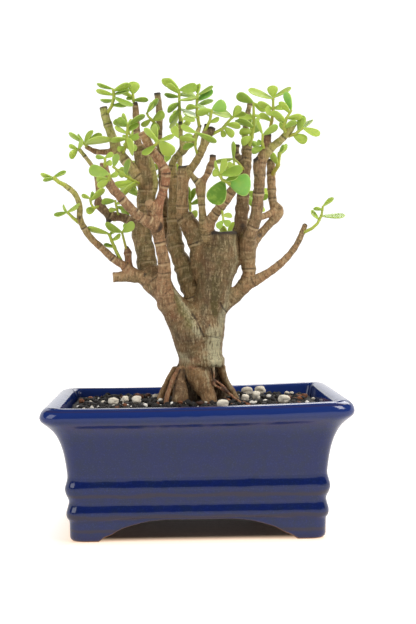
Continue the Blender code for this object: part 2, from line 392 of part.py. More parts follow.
BACK_SEED = 7
BACK_STEM_R = 1.2
BACK_STEM_THIN = 0.3                      # lost towards its tip
BACK_POINTS = 5
BACK_BEND = 0.2                           # how far a stem may bend aside, and how far it bends up
BACK_RISE = 0.25
BACK_PAIRS = 3
BACK_FIRST = 0.4                          # share of the stem below the first pair
BACK_LEAF = (9.0, 12.5)
BACK_LEAF_WIDTH = 0.5

LEAF_OUTLINE = [(0.0, 0.14), (0.38, 0.9), (0.76, 0.92)]                 # along, width share
LEAF_THICK = 1.7
LEAF_EDGE = 0.55                          # share of the thickness that the base and tip keep
LEAF_CURL = 0.06                          # rise of the tip, as a share of length
LEAF_FACES_UP = 0.75                      # share of leaves that tilt one way
LEAF_BROAD = 0.62                         # real width as a share of length
LEAF_OUTER = [(0.15, 0.5)] + LEAF_OUTLINE[1:]                           # clear of its own stem
LEAF_CLEAR = 0.5                          # room kept round a blade when it is placed
LEAN_STEPS = (0, -3, 3, -6, 6, -9, 9, -12, 12)

COLOURS = {
    "glaze": ((0.070, 0.082, 0.150), 0.22), "soil": ((0.020, 0.017, 0.014), 0.95),
    "bark": ((0.190, 0.115, 0.055), 0.8), "leaf": ((0.300, 0.430, 0.070), 0.45),
    "pumice": ((0.780, 0.740, 0.660), 0.9), "mesh": ((0.012, 0.012, 0.012), 0.6),
}


def clear_scene():
    for item in list(bpy.data.objects):
        bpy.data.objects.remove(item)


def material(name):
    made = bpy.data.materials.get(name)
    if made is None:
        colour, rough = COLOURS[name]
        made = bpy.data.materials.new(name)
        made.use_nodes = True
        shader = made.node_tree.nodes["Principled BSDF"]
        shader.inputs["Base Color"].default_value = (*colour, 1.0)
        shader.inputs["Roughness"].default_value = rough
        shader.inputs["Metallic"].default_value = 0.0
    return made


def seen(x, z, depth):
    """The point at this depth that the eye sees at x, z on the plane through the pot."""
    on_plane = Vector((x, 0.0, z))
    return EYE + (on_plane - EYE) * ((depth - EYE.y) / -EYE.y)


def spread(x, z, depth):
    """The same for a listed depth, which grows with height as the crown widens."""
    share = min(max((z - SPREAD_FROM) / (SPREAD_FULL - SPREAD_FROM), 0.0), 1.0)
    return seen(x, z, depth * (1 + share * ((FRONT_SPREAD if depth < 0 else BACK_SPREAD) - 1)))


def split_faces(shape):
    """Triangles only, so that a Boolean leaves no face that can be split in two ways."""
    bmesh.ops.triangulate(shape, faces=shape.faces)


def new_object(name, points, faces):
    """A mesh object from points in millimetres, stood on the shared origin."""
    mesh = bpy.data.meshes.new(name)
    mesh.from_pydata([((p[0] + STAND_X) * MM, p[1] * MM, p[2] * MM) for p in points], [], faces)
    shape = bmesh.new()
    shape.from_mesh(mesh)
    split_faces(shape)
    shape.to_mesh(mesh)
    shape.free()
    made = bpy.data.objects.new(name, mesh)
    bpy.context.scene.collection.objects.link(made)
    return made


def ring_faces(rings, size):
    """Quads between rings of points, and a cap on each end."""
    faces = []
    for i in range(rings - 1):
        for k in range(size):
            a, b = i * size + k, i * size + (k + 1) % size
            faces.append((a, b, b + size, a + size))
    faces.append(tuple(reversed(range(size))))
    faces.append(tuple(range((rings - 1) * size, rings * size)))
    return faces


def finish(thing, material_name, angle=40):
    thing.data.materials.clear()
    thing.data.materials.append(material(material_name))
    thing.data.shade_smooth()
    thing.data.set_sharp_from_angle(angle=math.radians(angle))


def combine(thing, others, operation, solver="EXACT"):
    """One Boolean of an object with a list of others, applied, and the others removed."""
    group = bpy.data.collections.new("operands")
    bpy.context.scene.collection.children.link(group)
    for other in others:
        group.objects.link(other)
    step = thing.modifiers.new("combine", "BOOLEAN")
    step.operation = operation
    step.operand_type = "COLLECTION"
    step.collection = group
    step.solver = solver
    shape = bpy.data.meshes.new_from_object(thing.evaluated_get(bpy.context.evaluated_depsgraph_get()))
    thing.modifiers.clear()
    thing.data = shape
    for other in others:
        bpy.data.objects.remove(other)
    bpy.data.collections.remove(group)
    keep_largest(thing)


def keep_largest(thing):
    """Drop loose scraps and the skins of sealed hollows."""
    shape = bmesh.new()
    shape.from_mesh(thing.data)
    left = set(shape.verts)
    groups = []
    while left:
        start = left.pop()
        group, reach = {start}, [start]
        while reach:
            for edge in reach.pop().link_edges:
                for vert in edge.verts:
                    if vert in left:
                        left.remove(vert)
                        group.add(vert)
                        reach.append(vert)
        groups.append(group)
    biggest = max(groups, key=len)
    loose = [vert for group in groups if group is not biggest for vert in group]
    bmesh.ops.delete(shape, geom=loose, context="VERTS")
    split_faces(shape)
    shape.to_mesh(thing.data)
    shape.free()


def smooth_path(points, step):
    """Points with radii along a smooth curve through the listed ones, about a step apart."""
    places = [spread(x, z, y) for x, z, y, _ in points]
    radii = [p[3] for p in points]
    path = []
    for i in range(len(places) - 1):
        a, b = places[max(i - 1, 0)], places[i]
        c, d = places[i + 1], places[min(i + 2, len(places) - 1)]
        count = max(1, round((c - b).length / step))
        for k in range(count):
            t = k / count
            place = 0.5 * (2 * b + (c - a) * t + (2 * a - 5 * b + 4 * c - d) * t * t
                           + (3 * b - a - 3 * c + d) * t ** 3)
            path.append((place, radii[i] + (radii[i + 1] - radii[i]) * t))
    path.append((places[-1], radii[-1]))
    return path


def tube_points(path, sides):
    """Rings of points round a path, carried along it without twist."""
    points = []
    across = Vector((0.0, 1.0, 0.0))
    for i, (place, radius) in enumerate(path):
        ahead = (path[min(i + 1, len(path) - 1)][0] - path[max(i - 1, 0)][0]).normalized()
        across = (across - ahead * across.dot(ahead)).normalized()
        other = ahead.cross(across)
        for k in range(sides):
            angle = 2 * math.pi * k / sides
            points.append(place + radius * (math.cos(angle) * across + math.sin(angle) * other))
    return points


def tube(name, path, sides):
    return new_object(name, tube_points(path, sides), ring_faces(len(path), sides))


def wood_step(points):
    return max(WOOD_STEP[0], WOOD_STEP[1] * points[0][3])


def wood_sides(points):
    radius = max(p[3] for p in points)
    return next(sides for limit, sides in WOOD_SIDES if radius > limit)


def wood_tube(name, points, extra=0.0):
    """A limb whose yearly rings stand a little proud, as every second ring of points."""
    path = smooth_path(points, wood_step(points))
    swollen = [(place, radius * RING_SWELL[i % 2] + extra)
               for i, (place, radius) in enumerate(path)]
    return tube(name, swollen, wood_sides(points))


def rounded_ring(half, height, warped=True, corner=None):
    """One level of the pot: a rectangle with round corners, wider ones towards the rim."""
    share = min(max(height / RIM_TOP, 0.0), 1.0)
    if corner is None:
        corner = CORNER_BASE + (CORNER_RIM - CORNER_BASE) * share ** 3
    deep = half - DEPTH_LESS
    points = []
    for sx, sy, start in ((1, 1, 0), (-1, 1, 90), (-1, -1, 180), (1, -1, 270)):
        for k in range(CORNER_STEPS):
            angle = math.radians(start + 90 * k / (CORNER_STEPS - 1))
            points.append([sx * (half - corner) + corner * math.cos(angle),
                           sy * (deep - corner) + corner * math.sin(angle), height])
        if sx == sy:
            reach = half - corner
            for x in (reach / 3, -reach / 3):
                points.append([x * sx, sy * deep, height])
        else:
            points.append([sx * half, 0.0, height])
    if warped:
        for point in points:
            across = point[0] / RIM_HALF
            point[2] += share * share * (RIM_RISE * across - RIM_SAG * (1 - across * across))
    return points


def drain_places():
    return [(-DRAIN_X, 0.0), (DRAIN_X, 0.0)]


def cylinder(name, x, y, low, high, radius, sides=16):
    points = []
    for z in (low, high):
        for k in range(sides):
            angle = 2 * math.pi * k / sides
            points.append((x + radius * math.cos(angle), y + radius * math.sin(angle), z))
    return new_object(name, points, ring_faces(2, sides))


def block(name, x, y, z, wide, deep, high):
    """A box centred on x, y that stands on z."""
    points = []
    for level in (z, z + high):
        for sx, sy in ((-1, -1), (1, -1), (1, 1), (-1, 1)):
            points.append((x + sx * wide / 2, y + sy * deep / 2, level))
    return new_object(name, points, ring_faces(2, 4))


def arch_cutter(name, scale, along_y):
    """The opening between two feet, run right through the pot."""
    half = [(ARCH[0][0] * scale, -2.0)] + [(x * scale, z) for x, z in ARCH]
    outline = half + [(-x, z) for x, z in reversed(half)]
    reach = RIM_HALF + 10.0
    points = []
    for side in (-reach, reach):
        for across, z in outline:
            points.append((across, side, z) if along_y else (side, across, z))
    faces = ring_faces(2, len(outline))
    if along_y:
        faces = [tuple(reversed(face)) for face in faces]
    return new_object(name, points, faces)


def make_pot():
    inner = FOOT_HALF - FOOT_WALL
    underside = [(inner - UNDER_ROUND[0], UNDERSIDE), (inner, UNDERSIDE - UNDER_ROUND[1]),
                 (inner, 0.0)]
    levels = underside + POT_WALL
    points = [point for half, height in levels for point in rounded_ring(half, height)]
    for half, height in POT_INSIDE:
        points += rounded_ring(half, height, True, CORNER_INSIDE)
    levels += POT_INSIDE
    size = len(points) // len(levels)
    pot = new_object("pot", points, ring_faces(len(levels), size))
    cutters = [arch_cutter("front_arch", 1.0, True), arch_cutter("side_arch", SIDE_ARCH_SCALE, False)]
    for x, y in drain_places():
        cutters.append(cylinder("drain", x, y, UNDERSIDE - CUT_PAST, FLOOR_TOP + CUT_PAST, DRAIN_R))
    combine(pot, cutters, "DIFFERENCE")
    finish(pot, "glaze", 32)
    return pot


def make_screens():
    """A square of plastic mesh laid over each drainage hole."""
    made = []
    for side, (x, y) in zip(("left", "right"), drain_places()):
        screen = block("drain_mesh_" + side, x, y, FLOOR_TOP + GAP, SCREEN_SIDE, SCREEN_SIDE,
                       SCREEN_THICK)
        cutters = []
        first = -(SCREEN_HOLES - 1) * SCREEN_PITCH / 2
        for i in range(SCREEN_HOLES):
            for k in range(SCREEN_HOLES):
                cutters.append(block("hole", x + first + i * SCREEN_PITCH,
                                     y + first + k * SCREEN_PITCH, FLOOR_TOP - CUT_PAST,
                                     SCREEN_HOLE, SCREEN_HOLE, SCREEN_THICK + 2 * CUT_PAST))
        combine(screen, cutters, "DIFFERENCE")
        finish(screen, "mesh")
        made.append(screen)
    return made


def soil_height(x, y):
    """The mound of the soil's top, between the rings that it is built from."""
    share = max(abs(x) / SOIL_HALF, abs(y) / (SOIL_HALF - DEPTH_LESS))
    for (far, low), (near, high) in zip(SOIL_RINGS, SOIL_RINGS[1:]):
        if share >= near:
            return low + (high - low) * (far - share) / (far - near)
    return SOIL_RINGS[-1][1]


def stone(name, x, y, z, half, turn, detail=1):
    """A lump with few faces, longer than it is high."""
    shape = bmesh.new()
    bmesh.ops.create_icosphere(shape, subdivisions=detail, radius=1.0)
    points = []
    for vert in shape.verts:
        dx, dy = vert.co.x * half, vert.co.y * half * STONE_BROAD
        points.append((x + dx * math.cos(turn) - dy * math.sin(turn),
                       y + dx * math.sin(turn) + dy * math.cos(turn),
                       z + vert.co.z * half * STONE_FLAT))
    faces = [tuple(vert.index for vert in face.verts) for face in shape.faces]
    shape.free()
    return new_object(name, points, faces)


def pumice_places():
    """Where each pumice stone lies: apparent place turned into a real one on the soil."""
    places = {}
    for name, (x, z, depth, half) in PUMICE.items():
        real = seen(x, z, depth)
        places[name] = (real.x, real.y, half)
    return places


def grit_places(taken):
    """Seeded places for the smaller grains, clear of the stones, the roots and the wall."""
    draw = random.Random(GRIT_SEED)
    places = []
    while len(places) < GRIT_COUNT:
        half = draw.uniform(*GRIT_HALF)
        x, y = draw.uniform(-GRIT_AREA[0], GRIT_AREA[0]), draw.uniform(-GRIT_AREA[1], GRIT_AREA[1])
        turn = draw.uniform(0, math.pi)
        apart = all(math.hypot(x - a, y - b) > GRIT_CROWD * (half + other)
                    for a, b, other in places)
        clear = all(math.hypot(x - a, y - b) > half + other + GRIT_FROM_PUMICE
                    for a, b, other in taken)
        if apart and clear and math.hypot(x - 5, (y - 5) * 0.9) > GRIT_FROM_TRUNK:
            places.append((x, y, half))
            yield x, y, half, turn


def make_soil():
    """The filled inside of the pot, with grains fused to its top and a plain hole per root."""
    side = []
    for half, height in reversed(POT_INSIDE[2:]):
        side.append((half - SOIL_WALL_GAP, max(height, FLOOR_TOP + GAP)))
    points = [point for half, height in side
              for point in rounded_ring(half, height, False, CORNER_INSIDE)]
    for share, height in SOIL_RINGS:
        points += [(x * share, y * share, height)
                   for x, y, _ in rounded_ring(SOIL_HALF, height, False, CORNER_INSIDE)]
    rings = len(side) + len(SOIL_RINGS)
    soil = new_object("soil", points, ring_faces(rings, len(points) // rings))
    grains = []
    for x, y, half, turn in grit_places(pumice_places().values()):
        grains.append(stone("grain", x, y, soil_height(x, y) + GRIT_OUT * half, half, turn))
    combine(soil, grains, "UNION")
    holes = [wood_tube("hole", points, GAP) for points in ROOTS.values()]
    for x, y in drain_places():
        room = SCREEN_SIDE + 2 * GAP
        holes.append(block("seat", x, y, FLOOR_TOP - CUT_PAST, room, room,
                           SCREEN_THICK + CUT_PAST + 2 * GAP))
    combine(soil, holes, "DIFFERENCE")
    finish(soil, "soil", 25)
    return soil


def make_pumice():
    made = []
    for i, (name, (x, y, half)) in enumerate(pumice_places().items()):
        height = soil_height(x, y) + GAP + half * STONE_FLAT
        lump = stone(name, x, y, height, half, 0.7 * i)
        finish(lump, "pumice", 60)
        made.append(lump)
    return made


def make_trunk():
    """Roots, trunk, limbs and branches, grown as one piece."""
    everything = {**LIMBS, **ROOTS, **BRANCHES}
    tubes = [wood_tube(name, points) for name, points in everything.items()]
    trunk = tubes[0]
    combine(trunk, tubes[1:], "UNION", "MANIFOLD")
    trunk.name = "trunk"
    finish(trunk, "bark", 50)
    return trunk


def along_stem(path, share):
    """The point of a stem at a share of its length."""
    lengths = [(b[0] - a[0]).length for a, b in zip(path, path[1:])]
    left = share * sum(lengths)
    for (a, b), length in zip(zip(path, path[1:]), lengths):
        if left <= length:
            return a[0].lerp(b[0], left / length)
        left -= length
    return path[-1][0]


def leaf_frame(base, tip, seen_width, draw):
    """Length, width and directions of a blade: turned so that the width seen is right."""
    ahead = (tip - base).normalized()
    length = (tip - base).length
    width = max(seen_width, LEAF_BROAD * length)
    view = (base - EYE).normalized()
    side = ahead.cross(view).normalized()
    out = side.cross(ahead)
    tilt = math.acos(min(seen_width / width, 1.0)) * (1 if draw.random() < LEAF_FACES_UP else -1)
    across = math.cos(tilt) * side + math.sin(tilt) * out
    up = across.cross(ahead)
    if up.z < 0:
        across, up = -across, -up
    return ahead, across, up, length, width


def leaf_shape(base, frame, room=0.0, sections=LEAF_OUTLINE):
    """Points and faces of one blade: flat above, plump below, rounded to its tip."""
    ahead, across, up, length, width = frame
    points = []
    for along, share in sections:
        middle = base + ahead * (along * length) + up * (LEAF_CURL * length * along * along)
        half = 0.5 * width * share + room
        thick = LEAF_THICK * (LEAF_EDGE + (1 - LEAF_EDGE) * share) + room
        points += [middle - across * half, middle + across * half, middle - up * thick]
    points.append(base + ahead * (length + room) + up * LEAF_CURL * length)
    faces = [(0, 2, 1)]
    for i in range(len(sections) - 1):
        a = 3 * i
        faces += [(a, a + 1, a + 4, a + 3), (a + 1, a + 2, a + 5, a + 4), (a + 2, a, a + 3, a + 5)]
    last, tip = 3 * (len(sections) - 1), len(points) - 1
    faces += [(last, last + 1, tip), (last + 1, last + 2, tip), (last + 2, last, tip)]
    return points, faces


def tree_of(points, faces):
    return BVHTree.FromPolygons([tuple(p) for p in points], faces)


def front_shoots():
    """Stem path and listed leaves of each shoot that the front view shows."""
    for name, (stem, leaves) in SHOOTS.items():
        path = smooth_path(stem, STEM_STEP)
        listed = [(along_stem(path, share), seen(x, z, along_stem(path, share).y + lean), width)
                  for share, x, z, width, lean in leaves]
        yield name, path, listed


def back_shoots():
    """Shoots on the far side: pairs of leaves, each pair a quarter turn from the last."""
    draw = random.Random(BACK_SEED)
    for name, (start, way, length) in BACK_SHOOTS.items():
        x, z, depth = start
        foot = spread(x, z, depth)
        way = Vector(way).normalized()
        bend = Vector((draw.uniform(-BACK_BEND, BACK_BEND), draw.uniform(-BACK_BEND, BACK_BEND),
                       BACK_RISE))
        path = []
        for k in range(BACK_POINTS):
            t = k / (BACK_POINTS - 1)
            path.append((foot + (way * t + bend * t * t) * length, BACK_STEM_R - BACK_STEM_THIN * t))
        side = way.orthogonal().normalized()
        other = way.cross(side)
        listed = []
        for pair in range(BACK_PAIRS):
            share = BACK_FIRST + (1 - BACK_FIRST) * pair / (BACK_PAIRS - 1)
            angle = math.radians(90 * pair + draw.uniform(-15, 15))
            for turn in (angle, angle + math.pi):
                base = along_stem(path, share)
                out = math.cos(turn) * side + math.sin(turn) * other
                reach = draw.uniform(*BACK_LEAF)
                tip = base + (out + way * draw.uniform(0.3, 0.7)).normalized() * reach
                listed.append((base, tip, BACK_LEAF_WIDTH * reach))
        yield name, path, listed


def clear_start(path, wood):
    """The stem from the first point whose whole ring stands clear of the wood."""
    for k in range(START_STEPS):
        place = along_stem(path, k / START_STEPS)
        ahead = (along_stem(path, (k + 1) / START_STEPS) - place).normalized()
        radius = path[0][1]
        ring = tube_points([(place, radius), (place + ahead, radius)], 6)[:6] + [place]
        if all(stands_clear(point, wood) for point in ring):
            rest = [(p, r) for p, r in path if (p - place).dot(ahead) > 1.0]
            return [(place, radius)] + rest
    return path


def stands_clear(point, wood):
    near, normal, _, distance = wood.find_nearest(point)
    return distance > GAP and (point - near).dot(normal) > 0


def make_shoots(trunk):
    """Green stems with their leaves, each fused in one node and clear of all the others."""
    mesh = trunk.data
    wood = tree_of([(v.co / MM) - Vector((STAND_X, 0, 0)) for v in mesh.vertices],
                   [tuple(p.vertices) for p in mesh.polygons])
    shoots = [(name, clear_start(path, wood), listed)
              for name, path, listed in [*front_shoots(), *back_shoots()]]
    stems = [tree_of(tube_points([(p, r + LEAF_CLEAR) for p, r in path], STEM_SIDES),
                     ring_faces(len(path), STEM_SIDES)) for _, path, _ in shoots]
    placed = []
    made = []
    for number, (name, path, listed) in enumerate(shoots):
        draw = random.Random(number)
        stem = tube(name, path, STEM_SIDES)
        others = [wood] + stems[:number] + stems[number + 1:] + placed
        leaves = []
        for base, tip, width in listed:
            for lean in LEAN_STEPS:
                frame = leaf_frame(base, tip + Vector((0, lean, 0)), width,
                                   random.Random(draw.random()))
                whole = tree_of(*leaf_shape(base, frame, GAP))
                outer = tree_of(*leaf_shape(base, frame, LEAF_CLEAR, LEAF_OUTER))
                if any(whole.overlap(other) for other in others):
                    continue
                if not any(outer.overlap(other) for other in placed):
                    leaves.append(new_object("leaf", *leaf_shape(base, frame)))
                    placed.append(tree_of(*leaf_shape(base, frame)))
                    break
        combine(stem, leaves, "UNION", "MANIFOLD")
        finish(stem, "leaf", 60)
        made.append(stem)
    return made


def main():
    clear_scene()
    make_pot()
    make_screens()
    make_soil()
    make_pumice()
    make_shoots(make_trunk())


main()
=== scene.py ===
"""Dwarf jade bonsai in a glazed pot: the looks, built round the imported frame.

Lists and helpers below are in millimetres, with the tree listed as in its CAD source: where it
appears on the upright plane through the middle of the pot, and how far behind (+) or in front of
(-) that plane it stands. Meshes are made in metres in the shared frame.
"""
import math
import random

import bmesh
import bpy
import numpy as np
from mathutils import Matrix, Vector, noise
from mathutils.bvhtree import BVHTree


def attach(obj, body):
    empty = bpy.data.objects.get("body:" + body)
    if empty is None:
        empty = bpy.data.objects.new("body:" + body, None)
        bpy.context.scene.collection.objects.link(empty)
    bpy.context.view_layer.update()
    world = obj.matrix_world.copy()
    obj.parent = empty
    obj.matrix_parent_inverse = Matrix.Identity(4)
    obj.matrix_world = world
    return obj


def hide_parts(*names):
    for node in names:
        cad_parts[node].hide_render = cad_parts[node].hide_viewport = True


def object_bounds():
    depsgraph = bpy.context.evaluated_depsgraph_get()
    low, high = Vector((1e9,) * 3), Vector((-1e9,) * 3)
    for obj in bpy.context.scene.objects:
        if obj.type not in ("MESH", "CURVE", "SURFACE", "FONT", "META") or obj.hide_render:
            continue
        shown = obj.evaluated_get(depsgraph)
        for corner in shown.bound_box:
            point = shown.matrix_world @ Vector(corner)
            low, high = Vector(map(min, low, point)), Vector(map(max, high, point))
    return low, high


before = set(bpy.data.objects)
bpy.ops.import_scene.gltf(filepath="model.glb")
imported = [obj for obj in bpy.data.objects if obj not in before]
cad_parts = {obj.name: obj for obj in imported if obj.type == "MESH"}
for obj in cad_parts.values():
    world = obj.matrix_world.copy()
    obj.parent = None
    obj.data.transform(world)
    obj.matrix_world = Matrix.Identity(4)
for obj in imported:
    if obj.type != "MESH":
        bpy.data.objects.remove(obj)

bl_info = {
    "name": "Dwarf Jade Bonsai",
    "version": (1, 0, 0),
    "blender": (4, 5, 0),
    "location": "3D View > Sidebar > Bonsai",
    "description": "Makes a dwarf jade bonsai in a glazed pot, with its soil and a plain stage",
    "category": "Add Mesh",
}

CAD_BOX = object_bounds()
MM = 0.001
EYE = Vector((-17.0, -792.0, 172.0))      # where the tree was looked at from
CAMERA_AT = Vector((-17.16, -791.6, 171.81))
CAMERA_TURN = (-1.93, -1.59, -0.5)        # degrees: turned aside, tipped and rolled
STAND_X = 0.83                            # shift that centres the whole object on the origin
FRONT_SPREAD = 1.8                        # how much deeper the crown is than listed, towards
BACK_SPREAD = 1.25                        # the eye and away from it
SPREAD_FROM = 130.0
SPREAD_FULL = 230.0

# Pot: half widths are along x, half depths are DEPTH_LESS smaller
DEPTH_LESS = 25.5
CORNER_BASE = 9.0
CORNER_RIM = 15.0
CORNER_INSIDE = 6.5
RIM_HALF = 103.3
RIM_TOP = 91.6
RIM_RISE = 1.5
RIM_SAG = 1.4
UNDERSIDE = 16.0
FLOOR_TOP = 22.0
POT_FOOT = [(75.2, 16.0), (75.8, 15.4), (76.0, 14.0), (76.0, 2.4), (76.4, 0.9), (77.4, 0.1),
            (79.5, 0.0), (82.6, 0.0), (84.3, 0.5), (85.2, 1.6), (85.5, 3.2)]
POT_WALL = [(85.6, 8.0), (85.9, 13.4), (87.1, 15.6), (87.6, 18.0), (87.5, 19.6), (86.0, 25.6),
            (86.4, 28.2), (87.6, 31.0), (88.3, 33.6), (88.4, 36.2), (86.9, 42.4), (87.2, 48.0),
            (88.8, 58.5), (91.0, 66.5), (93.8, 72.6), (97.6, 77.6), (101.4, 81.2), (102.9, 83.2),
            (103.3, 84.8), (102.9, 87.2), (102.3, 88.7), (101.2, 90.1), (99.8, 91.2), (98.4, 91.6)]
POT_INSIDE = [(96.4, 91.7), (93.4, 91.6), (91.6, 90.5), (90.6, 86.8), (87.0, 72.0), (80.6, 50.0),
              (78.4, 26.0), (76.8, 22.6), (75.0, 22.0)]
ARCH = [(66.0, 0.0), (62.0, 2.8), (57.5, 4.6), (51.0, 8.4), (42.5, 11.2), (34.0, 13.2),
        (24.0, 14.4)]                     # half of the arch between two front feet
SIDE_ARCH_SCALE = 0.6
RING_LONG = 96                            # points along a long side, a short side and a corner
RING_SHORT = 66
RING_CORNER = 13
WAVES = (22.0, 0.35)                      # width and depth of the wall's hand-made waves
RIPPLES = (7.0, 0.18)
LIP_HEIGHT = 90.3                         # brown line where the glaze thins over the rim's lip
LIP_REACH = 0.5
LIP_OUTSIDE = 98.5
FOOT_LINE = (84.5, 86.0)                  # half widths where the glaze thins along the feet
FOOT_REACH = 1.2
THIN_BANDS = ((33.6, 2.2), (19.4, 2.2), (9.6, 1.8))  # heights and reach where the glaze runs thin
RIM_BLUE = (79.0, 88.0)                   # heights between which the thick rim glaze comes in
DRAIN_X = 42.0
DRAIN_R = 10.0

# Soil: rings from the wall to the mound at the trunk, as shares of the half width at the wall
SOIL_HALF = 87.6
SOIL_BOTTOM = 72.0
SOIL_CLEAR = 1.1                          # room between its lower edge and the wall
SOIL_LOW = 0.9                            # how far its uneven top starts below the listed rings
SOIL_RINGS = [(1.0, 84.4), (0.87, 85.2), (0.64, 86.4), (0.44, 87.6)]
GRIT_COUNT = 10
GRIT_SEED = 11
GRIT_HALF = (2.0, 3.4)                    # half length of a coarse grain
GRIT_AREA = (80.0, 55.0)
GRIT_OUT = 0.15                           # a grain's middle above the soil, as a share of its half
GRIT_CROWD = 0.8                          # grains may touch a little
GRIT_FROM_PUMICE = 2.5
GRIT_FROM_TRUNK = 44.0
STREWN = (81.0, 55.0)                     # half of the area that small grains are strewn over
STONE_BROAD = 0.8                         # width and height of a stone as shares of its length
STONE_FLAT = 0.68
STONE_HIGH = 0.84                         # height of the larger stones, which sink in a little
STONE_LIFT = 0.35
BIT_FLAT = 0.72                           # height of the small listed stones and chips
BIT_OUT = 0.35                            # their middle above the soil, as a share of their half

COLLAR_LEDGE = 111.4                      # height where the roots come out under the trunk
WOOD_SIDES = 16                           # points round the tubes that the skin starts from
WOOD_STEP = 2.5
WOOD_REACH = 9.0                          # how far from its skin a limb is measured
END_REACH = 4.0                           # length of a cut end that is made flat
END_EDGE = 0.4                            # rounding of its edge
ALL_JOIN = 0.5                            # softness where roots meet limbs
BLEND_REACH = 0.8                         # softness where the colours of two limbs meet
SETTLE_TIMES = 3                          # the skin is moved onto the wood this many times,
SETTLE_MOST = 2.5                         # by this much at most,
SETTLE_SHARE = 0.9                        # and by this share of what it is off
# Rings: limbs between these radii lose theirs, and how far along the limb each mark reaches
RING_FADE = (7.0, 9.5)
GROOVE_REACH = 0.6
RING_LIP = (1.5, 0.9)                     # distance before the ring, and reach
NODE_REACH = 1.6
SPOT_REACH = 0.7
CREASE_REACH = 1.2                        # shade where two roots meet
DRIED_FROM = 0.6                          # an old cut is dark from here,
DRIED_REACH = 2.4                         # and fades down its side

# Larger white pumice stones lying on the soil: apparent x, apparent z, depth, half length
PUMICE = {
    "pumice_right_back": (37.0, 92.8, 37.0, 3.9),
    "pumice_right_front": (19.5, 83.4, -44.0, 3.9),
    "pumice_right_mid": (43.4, 89.4, -1.0, 3.8),
    "pumice_right_rim": (35.6, 87.1, -14.0, 3.1),
    "pumice_far_right": (63.1, 86.8, -20.0, 4.0),
    "pumice_left_mid": (-58.4, 87.1, -18.0, 3.4),
    "pumice_left_near": (-41.7, 86.0, -21.0, 3.6),
    "pumice_left_back": (-49.9, 87.1, -6.0, 2.9),
    "pumice_back": (46.4, 95.7, 51.0, 4.2),
}

# Wood that grew as one piece. Each point: apparent x, apparent z, depth, radius
ROOTS = {
    "root_left": [
        (-8, 116, 0, 3.4), (-12.4, 113.4, -1, 2.1), (-14.4, 110.6, -1, 1.8), (-16.6, 107, -1, 1.7),
        (-19.4, 102, -2, 1.7), (-21.8, 96.8, -3, 1.9), (-24.2, 91, -4, 2.2), (-28.6, 78, -5, 2.4)],
    "root_left_front": [
        (-7, 114, -6, 3.4), (-11.2, 110.4, -9, 1.8), (-13.4, 107, -10.5, 1.5),
        (-15.4, 103.7, -12, 1.5), (-18, 96.8, -15, 1.5), (-20.2, 89.8, -18, 1.6),
        (-21.4, 82.6, -20, 1.6), (-22, 75, -22, 1.6)],
    "root_left_inner": [
        (-6, 114, -6, 4), (-9, 110, -8, 2.8), (-9.8, 106, -8.7, 2.7), (-10.4, 102, -9.5, 3.3),
        (-10.8, 97, -10.5, 4.5), (-11, 90, -12, 5.5), (-11.4, 84, -13, 5.7),
        (-11.8, 75, -13.5, 5.4)],
    "root_centre": [
        (0.7, 115, -5, 9.5), (0.7, 110, -6, 9.4), (2.4, 105, -7, 9), (4.7, 100.4, -8, 8),
        (7.1, 95.5, -9.5, 6.8), (9.2, 91.3, -11, 5.7), (11, 82, -14, 4.8), (12, 75, -17, 4.2)],
    "root_centre_side": [
        (-1.5, 108, -7, 6), (-0.8, 103, -8, 4.4), (1.6, 99, -9.5, 3.2), (3.6, 95.6, -10.5, 1.8)],
    "root_strand": [
        (11.5, 114, -9, 1.8), (12.8, 111, -11, 1.1), (13.5, 106, -13, 0.85), (13.2, 100, -14, 0.85),
        (14.2, 97.5, -15, 0.85), (22, 93.1, -18, 0.85), (27.9, 88.2, -20, 0.85),
        (33.5, 83.8, -24, 0.85), (38, 75, -26, 0.85)],
    "root_strand_upper": [
        (13.3, 101.6, -13.4, 0.8), (19.2, 97.4, -16, 0.75), (22.6, 93.2, -18.2, 0.75)],
    "root_right": [
        (13, 117, 0, 6), (17.9, 112.5, 0, 3.4), (19, 108, 0, 2.9), (20.2, 104.5, 0, 2.6),
        (22, 100, 0, 2.4), (24.6, 95.8, -1, 2.2), (27.6, 91, -1.5, 2.1), (33.5, 75, -2, 2.1)],
    # a fully dark mass that fills the hollow behind the roots as painted shade
    "root_core": [(1.5, 117, 3, 13), (1, 106, 6, 12), (0.5, 96, 8, 11.6), (0, 74, 9, 11)],
    "root_core_right": [(10, 116, 3, 7), (14, 105, 6, 5.6), (17, 95, 8, 5.2), (19, 74, 10, 5)],
    "root_back_left": [(-4, 115, 7, 6), (-12, 102, 16, 4.2), (-19, 92, 24, 3.5), (-25, 76, 31, 3)],
    "root_back_right": [(10, 115, 7, 6), (18, 102, 15, 4.2), (24, 92, 22, 3.5), (30, 76, 29, 3)],
    "root_back": [(4, 114, 10, 5.5), (5, 102, 20, 4.2), (6, 92, 28, 3.5), (7, 76, 34, 3)],
}
